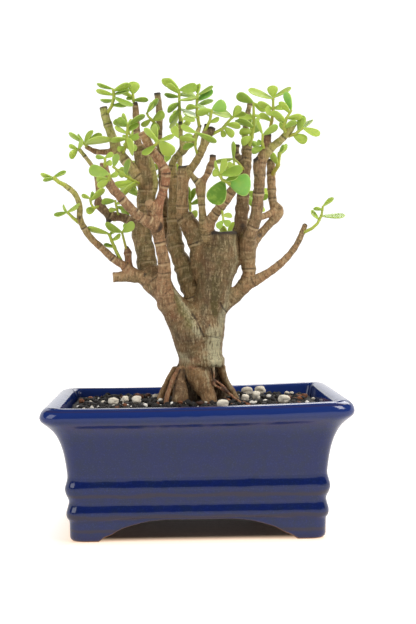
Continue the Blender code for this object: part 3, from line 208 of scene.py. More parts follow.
LIMBS = {
    "trunk": [
        (4.2, 112, 0, 15.9), (4.3, 114.2, 0, 16.7), (3.9, 118, 0, 15.5), (3.6, 123, 0, 15),
        (3, 130, 0, 16.6), (2, 138, 0, 17.4), (2, 144, 1, 14)],
    "left_limb": [
        (-1, 128, 0, 13), (-6, 139, -1, 11.6), (-12.5, 150, -2, 9.8), (-18.5, 159.5, -2, 8.2),
        (-24, 168, -2, 8.2), (-29, 175, 0, 8)],
    "left_post": [
        (-28, 171, 2, 8), (-33, 182, 5, 7.2), (-34.2, 192, 6, 6.8), (-36.6, 202, 7, 6.8),
        (-36.6, 211, 8, 6.6), (-34, 222, 9, 6.2), (-32.7, 235, 10, 6), (-33.2, 250, 10, 6),
        (-34.8, 262, 10, 6), (-36, 268, 10, 5.4)],
    "left_stub": [
        (-30, 172, -2, 7), (-38, 175, -3, 4.4), (-46, 175.5, -3, 3.8), (-57.5, 175, -3, 3.4)],
    "front_post": [
        (-20, 156, -7, 6.4), (-20.8, 164, -8, 5.2), (-21, 172, -9, 4.6), (-21.3, 184, -10, 4.3),
        (-23, 194, -10, 3.9), (-26, 210, -10, 4.3), (-26.8, 216, -11, 4.1), (-27, 222, -11, 3.9)],
    "right_column": [
        (6, 130, 0, 13), (10, 142, -1, 11.4), (10.5, 150, -1, 10.8), (12.8, 163, -2, 11.4),
        (14.8, 173, -2, 12.2), (18.2, 188, -2, 14.6), (19.2, 191.5, -2, 13.6),
        (20.6, 194.5, -2, 10.8), (21, 200, -2, 9.7), (21, 206.5, -2, 9.5)],
    "right_limb": [
        (10, 147, 1, 7.5), (19, 155, 1, 6.4), (27, 160.3, 0, 5.3), (34.3, 167.3, 0, 5),
        (38.3, 174.5, 0, 4.8), (39, 182, 0, 4.7), (38.5, 192, 0, 5), (37.5, 200, 0, 5.4)],
    "middle_limb": [
        (1, 152, 3, 7), (-2.2, 163.4, 4, 6), (-4.6, 171, 5, 6.6), (-8.2, 184, 7, 6.6),
        (-11.8, 192, 8, 5.6), (-13.6, 204, 10, 5.2), (-14.5, 216, 11, 4.4), (-14, 232, 13, 3.6),
        (-15, 250, 14, 2.8)],
    "middle_post": [
        (6, 180, 0, 8), (4, 190, 0, 6.8), (3.2, 196, 0, 6.5), (0.6, 204, 0, 7),
        (-3.3, 212, -1, 6.9), (-7.2, 218, -1, 5.8), (-8, 221, -1, 4.4), (-7.6, 235, -2, 4.2),
        (-7, 253, -2, 3.8)],
}
BRANCHES = {
    "left_thin": [
        (-44, 178, -4, 3.2), (-49.5, 183, -5, 2.8), (-57, 188, -6, 2.6), (-65, 195.5, -7, 2.4),
        (-72, 202, -8, 2.3), (-77, 209, -9, 2.3), (-80.5, 217, -10, 2.2), (-80.5, 226, -11, 2),
        (-84, 234.5, -11, 1.9), (-90.5, 240, -12, 1.9)],
    "knot_twig": [
        (-45.5, 178, -1, 2.6), (-46.5, 186, -2, 2.2), (-47, 192, -3, 2.7), (-48, 197, -3, 1.2)],
    "low_left": [
        (-39, 211, 6, 4), (-45, 215, 5, 3.2), (-51, 217.5, 4, 3), (-57.5, 218.5, 3, 3),
        (-63, 222, 2, 2.9), (-67, 227.5, 1, 2.7)],
    "low_left_nub": [(-59, 218, 3, 1.6), (-61, 213.5, 2, 1.3)],
    "low_left_up": [
        (-67, 226, 2, 1.9), (-67.5, 236, 3, 1.7), (-68.5, 246, 5, 1.6), (-71, 253, 6, 1.5),
        (-76, 260, 7, 1.5), (-80, 265, 8, 1.4)],
    "front_left": [
        (-27, 211, -12, 3.8), (-33, 214, -14, 3.6), (-40, 219, -15, 3.4), (-46, 225, -16, 3.3),
        (-52, 232, -18, 3.2), (-58, 239, -19, 3.1), (-62, 248, -21, 3), (-63, 256, -22, 2.8)],
    "front_red": [
        (-27, 217, -11, 3.8), (-25.6, 224, -12, 3.2), (-21.5, 235.7, -13, 2.9),
        (-19.9, 243, -14, 3.2), (-19.7, 250, -15, 3.3), (-22.5, 254.8, -15, 3.1),
        (-26, 260, -16, 3), (-29.5, 265.5, -17, 3), (-36, 277.5, -18, 2.9)],
    "front_cut": [(-29, 222, -12, 3.6), (-32, 228, -15, 2.8)],
    "post_olive": [
        (-37, 243, 9, 4), (-43, 251, 9, 3.7), (-49, 259, 10, 3.6), (-54, 267, 11, 3.5),
        (-58, 277, 12, 3.3), (-61, 286, 12, 3.1), (-63, 295, 13, 2.9)],
    "brown_side": [
        (-54, 264, 11, 2.2), (-62, 263.5, 13, 2), (-69, 264, 14, 1.9), (-75, 267, 14, 1.6)],
    "post_upright": [
        (-38, 260, 11, 3.2), (-39.5, 275, 13, 2.5), (-40, 285, 14, 2.4), (-40.3, 293, 14, 2.3),
        (-40.8, 298.5, 14, 1.7)],
    "green_side": [
        (-30, 232, 8, 1.8), (-26.5, 240, 6, 1.4), (-28, 250, 6, 1.3), (-30.5, 259, 7, 1.2)],
    "behind_tall": [
        (-14, 196, 12, 4.2), (-19, 207, 18, 3.9), (-21, 220, 22, 3.4), (-22, 245, 24, 2.8),
        (-24, 272, 25, 2.5), (-23.5, 290, 25, 2.4), (-25, 305, 25, 2.3)],
    "middle_fork": [
        (-5, 247, -3, 2.6), (-1.7, 251, -4, 2.6), (3.1, 258.2, -5, 2.6), (6.8, 266.2, -6, 2.6),
        (9.2, 272.8, -6, 2.5), (9.3, 276.5, -6, 2.3)],
    "middle_nub_a": [(9.2, 273.5, -6, 1.7), (9.6, 283, -6, 1.3)],
    "middle_nub_b": [(9.6, 272.5, -6, 1.8), (12.5, 276.5, -7, 1.8), (14.4, 280.5, -7, 2)],
    "olive_twig": [
        (-15, 247, 13, 2.6), (-14.6, 255.3, 12, 2.6), (-10.7, 261.1, 11, 2.4),
        (-4.8, 266.9, 10, 2.2), (-0.4, 270.6, 10, 2.1), (2.6, 275.7, 9.5, 1.8),
        (5.2, 282.5, 9, 1.4)],
    "olive_up": [(-7, 264, 10, 1.6), (-8.5, 274, 10, 1.5), (-9, 285, 10, 1.4)],
    "centre_twig": [
        (10, 198, -1, 4), (8.6, 210.5, -4, 3.6), (6.6, 214.5, -5, 2.7), (6, 222, -6, 2.5),
        (5.4, 232, -6, 2.7), (5, 239, -6, 2.8), (1.4, 243.5, -7, 2), (-3, 249, -8, 1.8)],
    "centre_right": [
        (4.5, 236, -6, 2.4), (6.5, 242.2, -6, 2.1), (9.8, 247.3, -6, 2.1), (11.8, 252, -6, 2.7),
        (12.6, 254.5, -6, 2.5), (13.6, 256.5, -6, 2.1), (14, 261.2, -6, 2.3)],
    "front_right": [
        (9.4, 208, -3, 3.7), (12.7, 215.5, -7, 3.5), (18.7, 224, -10, 3.5), (24.5, 231.3, -12, 3.4),
        (28.5, 238, -14, 3.2)],
    "right_post": [
        (34, 188, 2, 4), (32.6, 196, 4, 4.4), (32.8, 205, 4, 4.6), (33.6, 216, 5, 4.6),
        (35, 230, 7, 4.4), (36.5, 245, 8, 3.8), (37.6, 255, 8.5, 3.5), (38.5, 268.5, 10, 3.3)],
    "right_post_nub": [(34, 257, 8, 2.4), (30.5, 262, 5, 2.2), (31, 268.5, 4, 2.1)],
    "right_post_top": [
        (37.5, 264, 12, 2.2), (37, 275, 15, 2), (37.5, 284, 17, 1.9), (41, 299, 18, 1.8)],
    "right_front": [
        (38, 192, -1, 4.6), (40, 204, -4, 4.4), (44, 217, -6, 4.2), (46.3, 235, -7, 4),
        (47.2, 250, -8, 3.9), (46, 258.5, -8, 3.5)],
    "right_front_up": [
        (46, 252, -8, 3), (50, 262, -9, 2.9), (52, 270, -9, 2.8), (53, 276, -9, 2.6)],
    "right_reach": [
        (50, 260, -9, 2.6), (56, 266, -10, 2.6), (63, 272, -11, 2.5), (69, 279, -12, 2.4),
        (72, 284, -12, 2.3)],
    "right_outer": [
        (40, 196, 2, 4), (46, 203.5, 5, 3), (53, 211, 7, 2.9), (60, 218, 9, 3.2),
        (60, 222.5, 10, 3.6), (56.5, 227, 10, 3), (55.5, 240, 11, 3.1), (55, 258, 12, 2.9)],
    "right_bridge": [(46, 216.5, -2, 2.6), (52, 218.5, 4, 2.2), (58, 221.5, 9, 2.4)],
    "right_thin": [
        (36, 168, -2, 3.6), (44, 172, -4, 3.6), (46.5, 173.6, -4.3, 3.4), (53, 177.5, -6, 2.9),
        (60, 182.6, -8, 2.7), (66, 188, -9, 2.5), (72, 195.5, -11, 2.2), (76, 203, -12, 2),
        (79, 210.5, -13, 1.8)],
    "back_left": [(-36, 218, 12, 3), (-38, 230, 24, 2.6), (-36, 243, 36, 2.2), (-38, 256, 44, 1.8)],
    "back_low_left": [
        (-34, 188, 9, 3), (-36, 199, 24, 2.6), (-37, 212, 36, 2.2), (-36, 224, 45, 1.8)],
    "back_middle": [
        (-14, 224, 13, 2.8), (-13, 238, 27, 2.4), (-10, 252, 39, 2.1), (-9, 263, 47, 1.7)],
    "back_right": [(35, 222, 8, 2.8), (35, 236, 22, 2.4), (36, 249, 34, 2.1), (38, 260, 43, 1.7)],
    "back_low_right": [
        (22, 178, 6, 3.6), (24, 190, 22, 2.8), (31, 203, 35, 2.3), (40, 215, 44, 1.9)],
}

# Leafy shoots. The stem is listed like the wood. Each leaf: how far along the stem it sits
# (0 to 1), apparent x and z of its tip, the width seen, and how much its tip leans back
STEM_STEP = 9.0
SHOOTS = {
    "shoot_left_tip": (
        [(-90, 240, -12, 1.9), (-95, 242.5, -13, 1.8), (-99, 246, -13, 1.5)],
        [(1, -108, 247.5, 3, 1), (0.9, -106, 243.5, 2.4, -3), (1, -89.5, 249.5, 2.4, 2)]),
    "shoot_left_low": (
        [(-81, 214, -9, 1.8), (-85, 217, -11, 1.5), (-89.5, 221.5, -12, 1)],
        [(1, -98.5, 218.5, 3, -2), (1, -80, 226, 3.2, -5), (0.95, -93, 225, 2.4, 3)]),
    "shoot_stub_outer": (
        [(-50, 183, -4, 1.7), (-55, 193, -5, 1.6), (-57.5, 199, -6, 1.4), (-60, 206, -6, 1.2)],
        [(1, -76.5, 209, 3.6, -3), (0.8, -51.5, 204.5, 3.2, -4), (0.6, -64, 198.3, 2.6, -2),
         (0.97, -54, 209.5, 3, 3)]),
    "shoot_stub_inner": (
        [(-47.5, 193, -3, 1.2), (-49.5, 201, -5, 1.1), (-51, 207.5, -6, 0.9)],
        [(0.97, -63, 211.5, 5.5, -4), (0.97, -41.5, 212.5, 6.5, -5)]),
    "shoot_low_end": (
        [(-67, 225.5, 0, 1.1), (-70.5, 224, -4, 1), (-72.5, 227, -5, 0.9), (-73, 231, -5, 0.9)],
        [(0.3, -76, 221, 5.2, -3), (1, -79.3, 233, 3, -1), (0.9, -62.5, 237, 4.2, -2),
         (1, -70.5, 235.5, 2.6, 2)]),
    "shoot_low_mid": (
        [(-53, 218, 3, 1.1), (-54.5, 224, -2, 1), (-55.5, 229.5, -3, 0.8)],
        [(0.97, -65, 228, 4.5, -3), (0.5, -60, 222.5, 3.4, -1), (0.8, -51, 228.5, 2.8, -1),
         (0.7, -46.5, 222.5, 3.6, 4)]),
    "shoot_post_side": (
        [(-38, 241, 8, 1.3), (-43, 243.5, 0, 1.2), (-50.5, 248, -4, 1.1), (-57, 253.5, -6, 0.9)],
        [(0.24, -56.5, 238.3, 5, -3), (0.22, -53, 235, 3, -2), (0.2, -49, 232, 3, 1),
         (0.85, -48.8, 246, 4.5, 2), (0.97, -53.5, 262, 5, 1), (0.6, -45.5, 258, 4, 4)]),
    "shoot_front_mid": (
        [(-59.5, 242, -18, 1.3), (-59.5, 245, -24, 1.1), (-59.5, 248, -26, 1)],
        [(0.5, -68.5, 244.5, 5.6, -2), (1, -74, 251, 8, -2), (0.8, -53, 248, 3.6, -1),
         (0.7, -67, 238, 5, 4)]),
    "shoot_front_top": (
        [(-62.5, 252, -21, 1.3), (-62.3, 256, -26, 1.1), (-62.3, 259.5, -27, 1)],
        [(1, -69, 260, 3, -1), (1, -56.5, 262.5, 3.6, 1), (0.6, -57.5, 256, 4, -2)]),
    "shoot_up_tip": (
        [(-79, 264, 8, 1.1), (-81.5, 266, 8, 0.9)],
        [(1, -87.8, 268, 3.2, -1), (1, -86.5, 259.3, 5, -2), (0.9, -77.5, 272, 3.6, -6)]),
    "shoot_brown_side": (
        [(-74, 266, 14, 1.4), (-76.5, 270, 12, 1.1)],
        [(1, -88, 276.5, 3.2, -2), (1, -71, 278.5, 3.6, 5), (0.75, -64.5, 276.5, 5.2, -4),
         (0.8, -58, 271, 5, -8), (0.8, -82, 274, 4.2, 8)]),
    "shoot_olive_mid": (
        [(-50, 261, 10, 1.3), (-47.5, 268, 4, 1.2), (-46.5, 276, 2, 1.1), (-46, 283, 1, 1)],
        [(0.95, -53.2, 287, 5, -2), (0.75, -55.5, 280.5, 3.2, -2), (1, -33.5, 288.8, 3.8, -3),
         (0.6, -58, 271, 3.8, -3), (0.35, -53.5, 265, 4.2, -2), (1, -50.5, 290, 3, 3),
         (0.8, -38.5, 283, 4.5, 5), (0.55, -37, 274.5, 4.5, -4), (0.35, -39.5, 265.5, 5, 5),
         (0.6, -43, 262.5, 4.4, -7)]),
    "shoot_olive_top": (
        [(-60.5, 290.5, 12, 1.5), (-57, 296, 9, 1.4), (-55.5, 302, 8, 1.2), (-56, 308, 7, 1)],
        [(0.4, -45, 296.3, 4, -3), (0.78, -68.3, 306, 3.4, -2), (0.8, -44, 306.5, 2.6, 2),
         (0.72, -43.5, 294, 4.5, -4), (1, -67.8, 310.5, 2.8, 1), (0.92, -43.5, 310, 4.4, -2),
         (0.6, -64.5, 298.5, 3.6, 7)]),
    "shoot_upright_top": (
        [(-41, 296, 14, 1.3), (-42, 301, 13, 1.1), (-42.2, 304, 13, 1)],
        [(1, -41, 313, 8.8, -1), (0.5, -31.5, 299.8, 3.6, -3), (0.6, -46.5, 301.5, 3, 4),
         (0.8, -51, 305, 3.4, 7)]),
    "shoot_tall_mid": (
        [(-24.5, 281, 25, 1.4), (-28, 285, 16, 1.2), (-31.5, 288.4, 12, 1.1),
         (-32.5, 291, 11, 0.9)],
        [(1, -23.8, 300.4, 3.6, -3), (0.6, -20.5, 291, 6.5, -6), (0.5, -26.4, 277.5, 7, -4),
         (0.7, -36, 281, 4.2, 3), (1, -27.5, 296.5, 3.4, 5)]),
    "shoot_red_top": (
        [(-29, 266, -17, 1.2), (-25.5, 269.5, -22, 1.1), (-24, 271.5, -23, 1)],
        [(1, -13, 274, 2.8, -2), (1, -14.5, 262, 9.5, -3), (0.9, -35, 279.5, 3.8, -3),
         (0.5, -35.5, 261, 4.5, -2), (0.7, -27, 282.5, 4.5, 5)]),
    "shoot_crown": (
        [(-9, 284, 10, 1.3), (-9.3, 292, 9, 1.2), (-9.5, 299, 8, 1.1), (-9.5, 307, 7, 0.9)],
        [(1, -21.8, 314.2, 7, -2), (1, 3.5, 308.5, 7, -2), (0.8, -20, 302.6, 3.4, 4),
         (0.85, 0.8, 303.5, 4, 8), (0.7, 3, 299, 2.8, -8), (0.45, 4.5, 288.5, 3.2, -8),
         (0.35, -16.2, 284.5, 4.5, -6), (0.6, -17.5, 292, 4.5, -6), (0.5, -14, 280.5, 4.5, 6),
         (0.9, -18.5, 309, 4, 7)]),
    "shoot_crown_right": (
        [(4.5, 281, 9, 1.5), (3, 291, 6, 1.5), (3, 298, 5, 1.3), (3.5, 304, 4, 1)],
        [(1, 4.5, 311.5, 3.8, 1), (0.97, 15, 308.8, 2.6, -2), (0.8, 14.5, 305.5, 5.5, 2),
         (0.3, -7, 288.7, 2.6, -2), (0.6, -4.5, 294.5, 4, -5), (0.65, 14, 299.5, 3.2, 6),
         (0.45, 12, 292, 3.4, 8)]),
    "shoot_arch": (
        [(8.5, 278, -7, 1.3), (12, 285, -9, 1.1), (13.5, 293, -10, 1)],
        [(1, 3.5, 290, 5.2, -2), (1, 23.5, 297, 8.8, -2), (0.9, 26.5, 287.5, 3.2, 3),
         (0.45, 19, 286.3, 3.4, -3), (0.7, 4.5, 297, 3.6, 5)]),
    "shoot_fork_low": (
        [(3, 261, -5, 1.1), (1.5, 267, -10, 1), (2.5, 277, -12, 0.9)],
        [(0.75, -9.8, 272.5, 4, -1), (1, -9, 280.5, 4.2, -3), (1, 16.3, 269.5, 4, -2),
         (0.6, -7, 266, 4.2, 5)]),
    "shoot_centre_right": (
        [(9.5, 273.5, -6, 1.5), (15, 276.5, -7, 1.5), (21, 279.5, -7, 1.3), (25, 284.5, -7, 1.1),
         (28.5, 288, -7, 1)],
        [(0.97, 17, 294, 4.2, 2), (1, 33.5, 295.5, 5.5, -3), (0.6, 28.5, 274, 5.2, -3),
         (0.7, 33.5, 281, 4.5, -5), (1, 37.5, 290, 4, 4), (0.5, 22.5, 273.5, 4.2, 4)]),
    "shoot_post_inner": (
        [(35.5, 251, 6, 1.1), (31.5, 256, 0, 1), (28.5, 258.5, -3, 0.9)],
        [(1, 15.3, 255.3, 2.8, -2), (0.97, 28, 270.5, 2.6, -5)]),
    "shoot_two_leaves": (
        [(27.5, 239, -15, 1.4), (23.5, 242, -19, 1.3), (20, 243.8, -20, 1.1), (19, 247.5, -20, 1)],
        [(0.66, 13.2, 226.3, 13.5, -3), (0.25, 40.5, 239.5, 15.5, -4), (1, 13.3, 249, 5.5, 2),
         (0.97, 35.3, 250, 7.2, -4), (1, 23.5, 257, 5, 4), (0.9, 14.5, 254.5, 4, 6),
         (0.6, 31.5, 245.5, 4.2, 8)]),
    "shoot_post_crown": (
        [(38.5, 264, 9, 1.8), (41.5, 273, 7, 1.7), (43, 282, 6, 1.5), (43.2, 290, 5, 1.3),
         (43, 298, 4, 1)],
        [(1, 31, 303, 7, -2), (1, 51, 291, 4.2, 2), (0.75, 53, 286.5, 3.4, -3),
         (0.7, 32.5, 287, 5.2, 2), (0.4, 33, 277, 5.4, -3), (0.5, 30.6, 284.5, 4.5, -6),
         (0.3, 34.5, 269.2, 6, -6), (0.2, 46.5, 266.5, 4.5, 5)]),
    "shoot_front_crown": (
        [(53.5, 274, -9, 1.5), (55.5, 283, -10, 1.3), (57, 291, -11, 1.2), (57, 301.5, -11, 1)],
        [(1, 56.5, 310, 7.6, -1), (1, 70.5, 307.5, 2.6, -2), (0.97, 39, 306, 4.5, 2),
         (0.72, 66.5, 294.5, 4, 2), (0.7, 46, 297.5, 4.2, -2), (0.4, 47, 289.5, 3.8, -2),
         (0.55, 51, 293.5, 5, -8)]),
    "shoot_reach_green": (
        [(66, 275, -11, 1.3), (64.5, 281, -15, 1.2), (66.5, 287, -16, 1.1), (70, 292.5, -16, 0.9)],
        [(1, 65, 305, 5.2, -2), (0.7, 77.8, 287.3, 4.2, -2), (0.6, 56, 291, 4.5, -3),
         (0.35, 73, 284, 4.2, -3), (0.5, 60, 289, 5, 5), (0.9, 61.5, 298, 4, -5),
         (0.2, 61, 283.5, 3.2, 4)]),
    "shoot_reach_tip": (
        [(68, 274, -11, 1.3), (73, 276, -14, 1.2), (78, 280, -14, 1)],
        [(1, 89.8, 274, 5.2, -2), (0.7, 77.3, 288.5, 6, 1), (0.3, 80.8, 270.5, 6.8, -3),
         (0.9, 84, 285.5, 3.6, 4)]),
    "shoot_front_inner": (
        [(50.5, 264, -9, 1.2), (49, 270, -14, 1.1), (49.5, 275.5, -15, 0.9)],
        [(1, 45, 285, 2.6, -1), (0.97, 60.5, 281, 5, -2), (0.25, 41.8, 263, 5, -3),
         (0.55, 44.8, 269.5, 4.5, 3)]),
    "shoot_outer_top": (
        [(56, 247, 10, 1.9), (60, 253, 6, 1.8), (61.5, 263, 5, 1.4)],
        [(0.9, 67.5, 267.7, 3.4, 3), (0.5, 54.3, 262.5, 4.6, -3), (1, 64, 267, 3, -3)]),
    "shoot_hanging": (
        [(20, 222, -11, 1.1), (20.8, 217.5, -16, 1), (21, 214.5, -17, 0.9)],
        [(1, 26, 211.5, 5, -2), (1, 16, 209.5, 4.6, -3), (0.6, 27, 218, 3.6, 4)]),
    "shoot_right_tip": (
        [(78.5, 206, -13, 1.5), (84, 208.5, -15, 1.4), (88, 212, -15, 1.3), (91, 218, -15, 1.1),
         (92, 224.5, -15, 0.8)],
        [(0.72, 108, 216.5, 3.4, -2), (0.6, 83, 221, 2.8, -1), (1, 99.8, 230, 2.8, 1),
         (0.9, 85.5, 222.8, 2.4, -3)]),
    "shoot_behind": (
        [(-3, 213, 3, 1.2), (-2.5, 221, 10, 1.1), (-2.5, 228, 14, 1)],
        [(1, 1.8, 237.5, 3.6, 2), (1, -4.5, 239, 2.8, -3), (0.5, 3, 219, 6, 3),
         (0.8, -12, 226, 5, 5), (0.7, -9, 234, 4, -4), (0.9, 7.5, 229.5, 4, 3)]),
}

# Shoots on the far side, which the front view hides: where each starts on the wood, the way
# it grows (x, y, z) and its length
BACK_SHOOTS = {
    "back_shoot_left": ((-38, 256, 44), (-0.35, 0.3, 1.0), 24.0),
    "back_shoot_left_side": ((-37, 238, 31), (-0.8, 0.5, 0.6), 18.0),
    "back_shoot_low_left": ((-36, 224, 45), (-0.3, 0.35, 1.0), 20.0),
    "back_shoot_low_out": ((-37, 209, 33), (-0.7, 0.7, 0.5), 17.0),
    "back_shoot_middle": ((-9, 263, 47), (0.1, 0.3, 1.0), 22.0),
    "back_shoot_middle_side": ((-12, 244, 32), (-0.5, 0.8, 0.5), 18.0),
    "back_shoot_right": ((38, 260, 43), (0.3, 0.25, 1.0), 22.0),
    "back_shoot_right_side": ((35.5, 242, 28), (-0.5, 0.7, 0.6), 18.0),
    "back_shoot_low_right": ((40, 215, 44), (0.4, 0.3, 1.0), 20.0),
    "back_shoot_low_in": ((27, 196, 28), (-0.35, 1.0, 0.45), 18.0),
}
BACK_SEED = 7
BACK_STEM_R = 1.2
BACK_STEM_THIN = 0.3                      # lost towards its tip
BACK_POINTS = 5
BACK_BEND = 0.2                           # how far a stem may bend aside, and how far it bends up
BACK_RISE = 0.25
BACK_PAIRS = 3
BACK_FIRST = 0.4                          # share of the stem below the first pair
BACK_LEAF = (9.0, 12.5)
BACK_LEAF_WIDTH = 0.5
BACK_TURN = 15                            # degrees that a pair may turn out of its quarter
BACK_AHEAD = (0.3, 0.7)                   # how far leaves lean the way the stem grows

LEAF_EDGE = 0.55                          # share of the thickness that the base and tip keep
LEAF_CURL = 0.06                          # rise of the tip, as a share of length
LEAF_FACES_UP = 0.75                      # share of leaves that tilt one way
LEAF_BROAD = 0.62                         # real width as a share of length
LEAN_STEPS = (0, -3, 3, -6, 6, -9, 9, -12, 12)
LEAF_ROWS = 13
LEAF_SIDES = 14
LEAF_FOOT = 0.22                          # paler share of its length at the foot
ON_LEAF = 0.1                             # a tip this near to the CAD's leaf lies on it
STEM_RINGS = 25
STEM_SIDES = 10
JOINT_REACH = 0.9                         # length of the swelling where leaves sit

# Small things that the front view shows on the soil: apparent x and z, half length
SOIL_LEVEL = 88.0
BITS = {
    "lava": [
        (-5.3, 85, 2.6), (-2.5, 84.4, 2.4), (61.9, 87.5, 3.2), (-56.8, 90.8, 3), (69.7, 85.4, 3),
        (-19.2, 83.6, 2.6)],
    "chip": [
        (74.1, 91, 2.4), (78, 91.5, 2.6), (-81, 89.8, 2.2), (2.8, 84.7, 2.2), (-40.5, 89.5, 3.6),
        (-33.7, 90.4, 2.4), (-74.6, 91, 2.4), (82.5, 84.4, 2.2)],
    "pumice": [
        (-65.5, 87.9, 1.8), (-68.9, 84.6, 1.4), (-83.4, 86.4, 1.1), (-35.7, 84.1, 2.1),
        (-28.3, 89.4, 2.7), (-24.9, 86.8, 2.1), (52.3, 89.8, 2.1), (65.2, 93.1, 2),
        (68.7, 93.3, 1.7), (46.7, 83.6, 1.5), (40.4, 84.8, 1.8), (42.5, 85.2, 1.4),
        (79.8, 86.8, 1.8), (49.7, 86.8, 1.4), (84.4, 90.1, 1.4)],
}

# Leaves whose tone stands out, by shoot and place in its list (0 is light, 1 deep), leaves that
# are a bluer green, and stems that are more red than green
LEAF_TONES = {("shoot_two_leaves", 0): 1.0, ("shoot_two_leaves", 1): 0.55,
              ("shoot_crown", 2): 0.85, ("shoot_red_top", 1): 0.2, ("shoot_crown", 0): 0.1,
              ("shoot_front_crown", 0): 0.0}
LEAF_COOL = {("shoot_two_leaves", 1): 1.0, ("shoot_crown_right", 2): 0.9,
             ("shoot_reach_green", 0): 0.9, ("shoot_arch", 1): 0.6}
STEM_RED = {"shoot_red_top": 0.7, "shoot_brown_side": 0.8, "shoot_stub_inner": 0.7,
            "shoot_reach_tip": 0.5, "shoot_right_tip": 0.15, "shoot_left_tip": 0.3,
            "shoot_front_crown": 0.8, "shoot_outer_top": 0.6}

# What the wood looks like along each branch: how green it is at its foot and at its end, how red,
# and how dark, which is older bark on some and painted shade on limbs that stand in shadow; the
# rest is tan bark
TINTS = {
    "left_thin": (0, 0.8, 0.5, 0), "knot_twig": (0, 0.1, 0.8, 0.3), "low_left": (0, 0, 0.35, 0.6),
    "low_left_nub": (0, 0, 0.1, 0.95), "low_left_up": (0, 0.85, 0.3, 0.1),
    "front_left": (0, 0.1, 0.5, 0.3), "front_red": (0, 0.3, 0.9, 0.05),
    "front_cut": (0, 0, 0.35, 0), "post_olive": (0.3, 0.95, 0, 0.1),
    "brown_side": (0.1, 0.25, 0.7, 0.2), "post_upright": (0.1, 0.15, 0.35, 0.3),
    "green_side": (0.5, 0.8, 0.1, 0), "behind_tall": (0.1, 0.3, 0.1, 0.45),
    "middle_fork": (0.3, 0.45, 0.35, 0), "middle_nub_a": (0, 0, 0.2, 0.85),
    "middle_nub_b": (0, 0, 0.2, 0.7), "olive_twig": (0.45, 0.8, 0.35, 0),
    "olive_up": (0.5, 0.8, 0.1, 0.1), "centre_twig": (0.2, 0.35, 0, 0.2),
    "centre_right": (0.1, 0.2, 0.55, 0.2), "front_right": (0, 0.1, 0.3, 0),
    "right_post": (0, 0.3, 0.4, 0.45), "right_post_nub": (0.1, 0.1, 0.1, 0.7),
    "right_post_top": (0.2, 0.3, 0.1, 0.5), "right_front": (0, 0.1, 0.25, 0.4),
    "right_front_up": (0, 0, 0.7, 0.45), "right_reach": (0.55, 0.9, 0.05, 0),
    "right_outer": (0, 0, 0.2, 0.2), "right_bridge": (0, 0, 0.3, 0.1),
    "right_thin": (0, 0.1, 0.3, 0), "left_post": (0.15, 0.05, 0.05, 0.1),
    "left_stub": (0, 0, 0.15, 0), "middle_limb": (0.15, 0.2, 0, 0.15),
    "middle_post": (0.05, 0.1, 0.1, 0), "front_post": (0, 0.05, 0.45, 0.15),
    "left_limb": (0, 0, 0.25, 0.2), "right_limb": (0, 0.1, 0.15, 0.1),
    # right_column stands in shadow: its dark share is painted shade
    "right_column": (0.1, 0.1, 0.05, 0.45), "root_left": (0.1, 0, 0.1, 0.1),
    "root_left_front": (0.05, 0, 0.6, 0.1), "root_left_inner": (0, 0, 0.2, 0.5),
    "root_centre": (0.12, 0, 0.2, 0), "root_centre_side": (0.2, 0.1, 0.1, 0.3),
    "root_strand": (0, 0, 1, 0), "root_strand_upper": (0, 0, 1, 0),
    # root_core and root_core_right are all dark: painted shade in the hollow behind the roots
    "root_right": (0.12, 0.05, 0.1, 0.3), "root_core": (0, 0, 0.1, 1),
    "root_core_right": (0, 0, 0.1, 1), "back_left": (0.2, 0.5, 0.2, 0.1),
    "back_low_left": (0.1, 0.4, 0.2, 0.1), "back_middle": (0.2, 0.5, 0.2, 0),
    "back_right": (0.2, 0.5, 0.2, 0), "back_low_right": (0.1, 0.4, 0.2, 0.1),
}
# Ends that go on into a shoot or into other limbs, so that nothing was cut off there
GROWING_ENDS = ("trunk", "left_limb", "right_limb", "middle_limb", "front_post", "left_thin",
                "low_left_up", "green_side", "right_thin", "centre_twig", "back_left",
                "back_low_left", "back_middle", "back_right", "back_low_right", "brown_side",
                "front_right", "low_left", "middle_fork", "right_bridge")
PALE_CUTS = ("front_cut", "front_red", "left_stub", "front_left", "left_post")
# Marks on the front of the wood: apparent x and z, radius, how deep it sinks
SCARS = [(-1.7, 148.8, 1.0, 0.8), (10.6, 140.4, 1.2, 0.5), (-35, 177, 1.6, 0.4),
         (35, 211, 3.0, 0.9), (-42, 240, 2.0, 0.5), (47, 204, 2.4, 0.5), (-60, 214, 1.6, 0.2),
         (43, 256.5, 2.0, 0.8), (-80.5, 217.5, 1.6, 0.2), (-24, 209, 1.2, 0.4),
         (2, 199, 1.3, 0.5), (-57, 246, 1.6, 0.4), (-12.5, 261, 1.3, 0.4), (-40, 297, 1.3, 0.4)]
# Creases across the front of the wood, dented and darkened with painted shade: apparent points,
# half width, how deep
CREASES = [
    ([(6.3, 132.4), (10, 132.3), (13, 132), (16, 131.4), (18, 130.9)], 0.45, 0.55),
    ([(-1.5, 148.4), (0.2, 146), (3.9, 138.2), (6.3, 132.4)], 0.8, 0.9),
    ([(-14, 131), (-9, 126.6), (-3, 126.4), (2, 128)], 1.0, 0.25),
    ([(18.5, 156), (20.5, 152), (23, 149.5)], 0.8, 0.6),
    ([(-21, 163), (-17, 166), (-15.5, 170)], 0.7, 0.5),
    ([(-36, 176), (-31, 172), (-27, 175)], 0.6, 0.5),
]
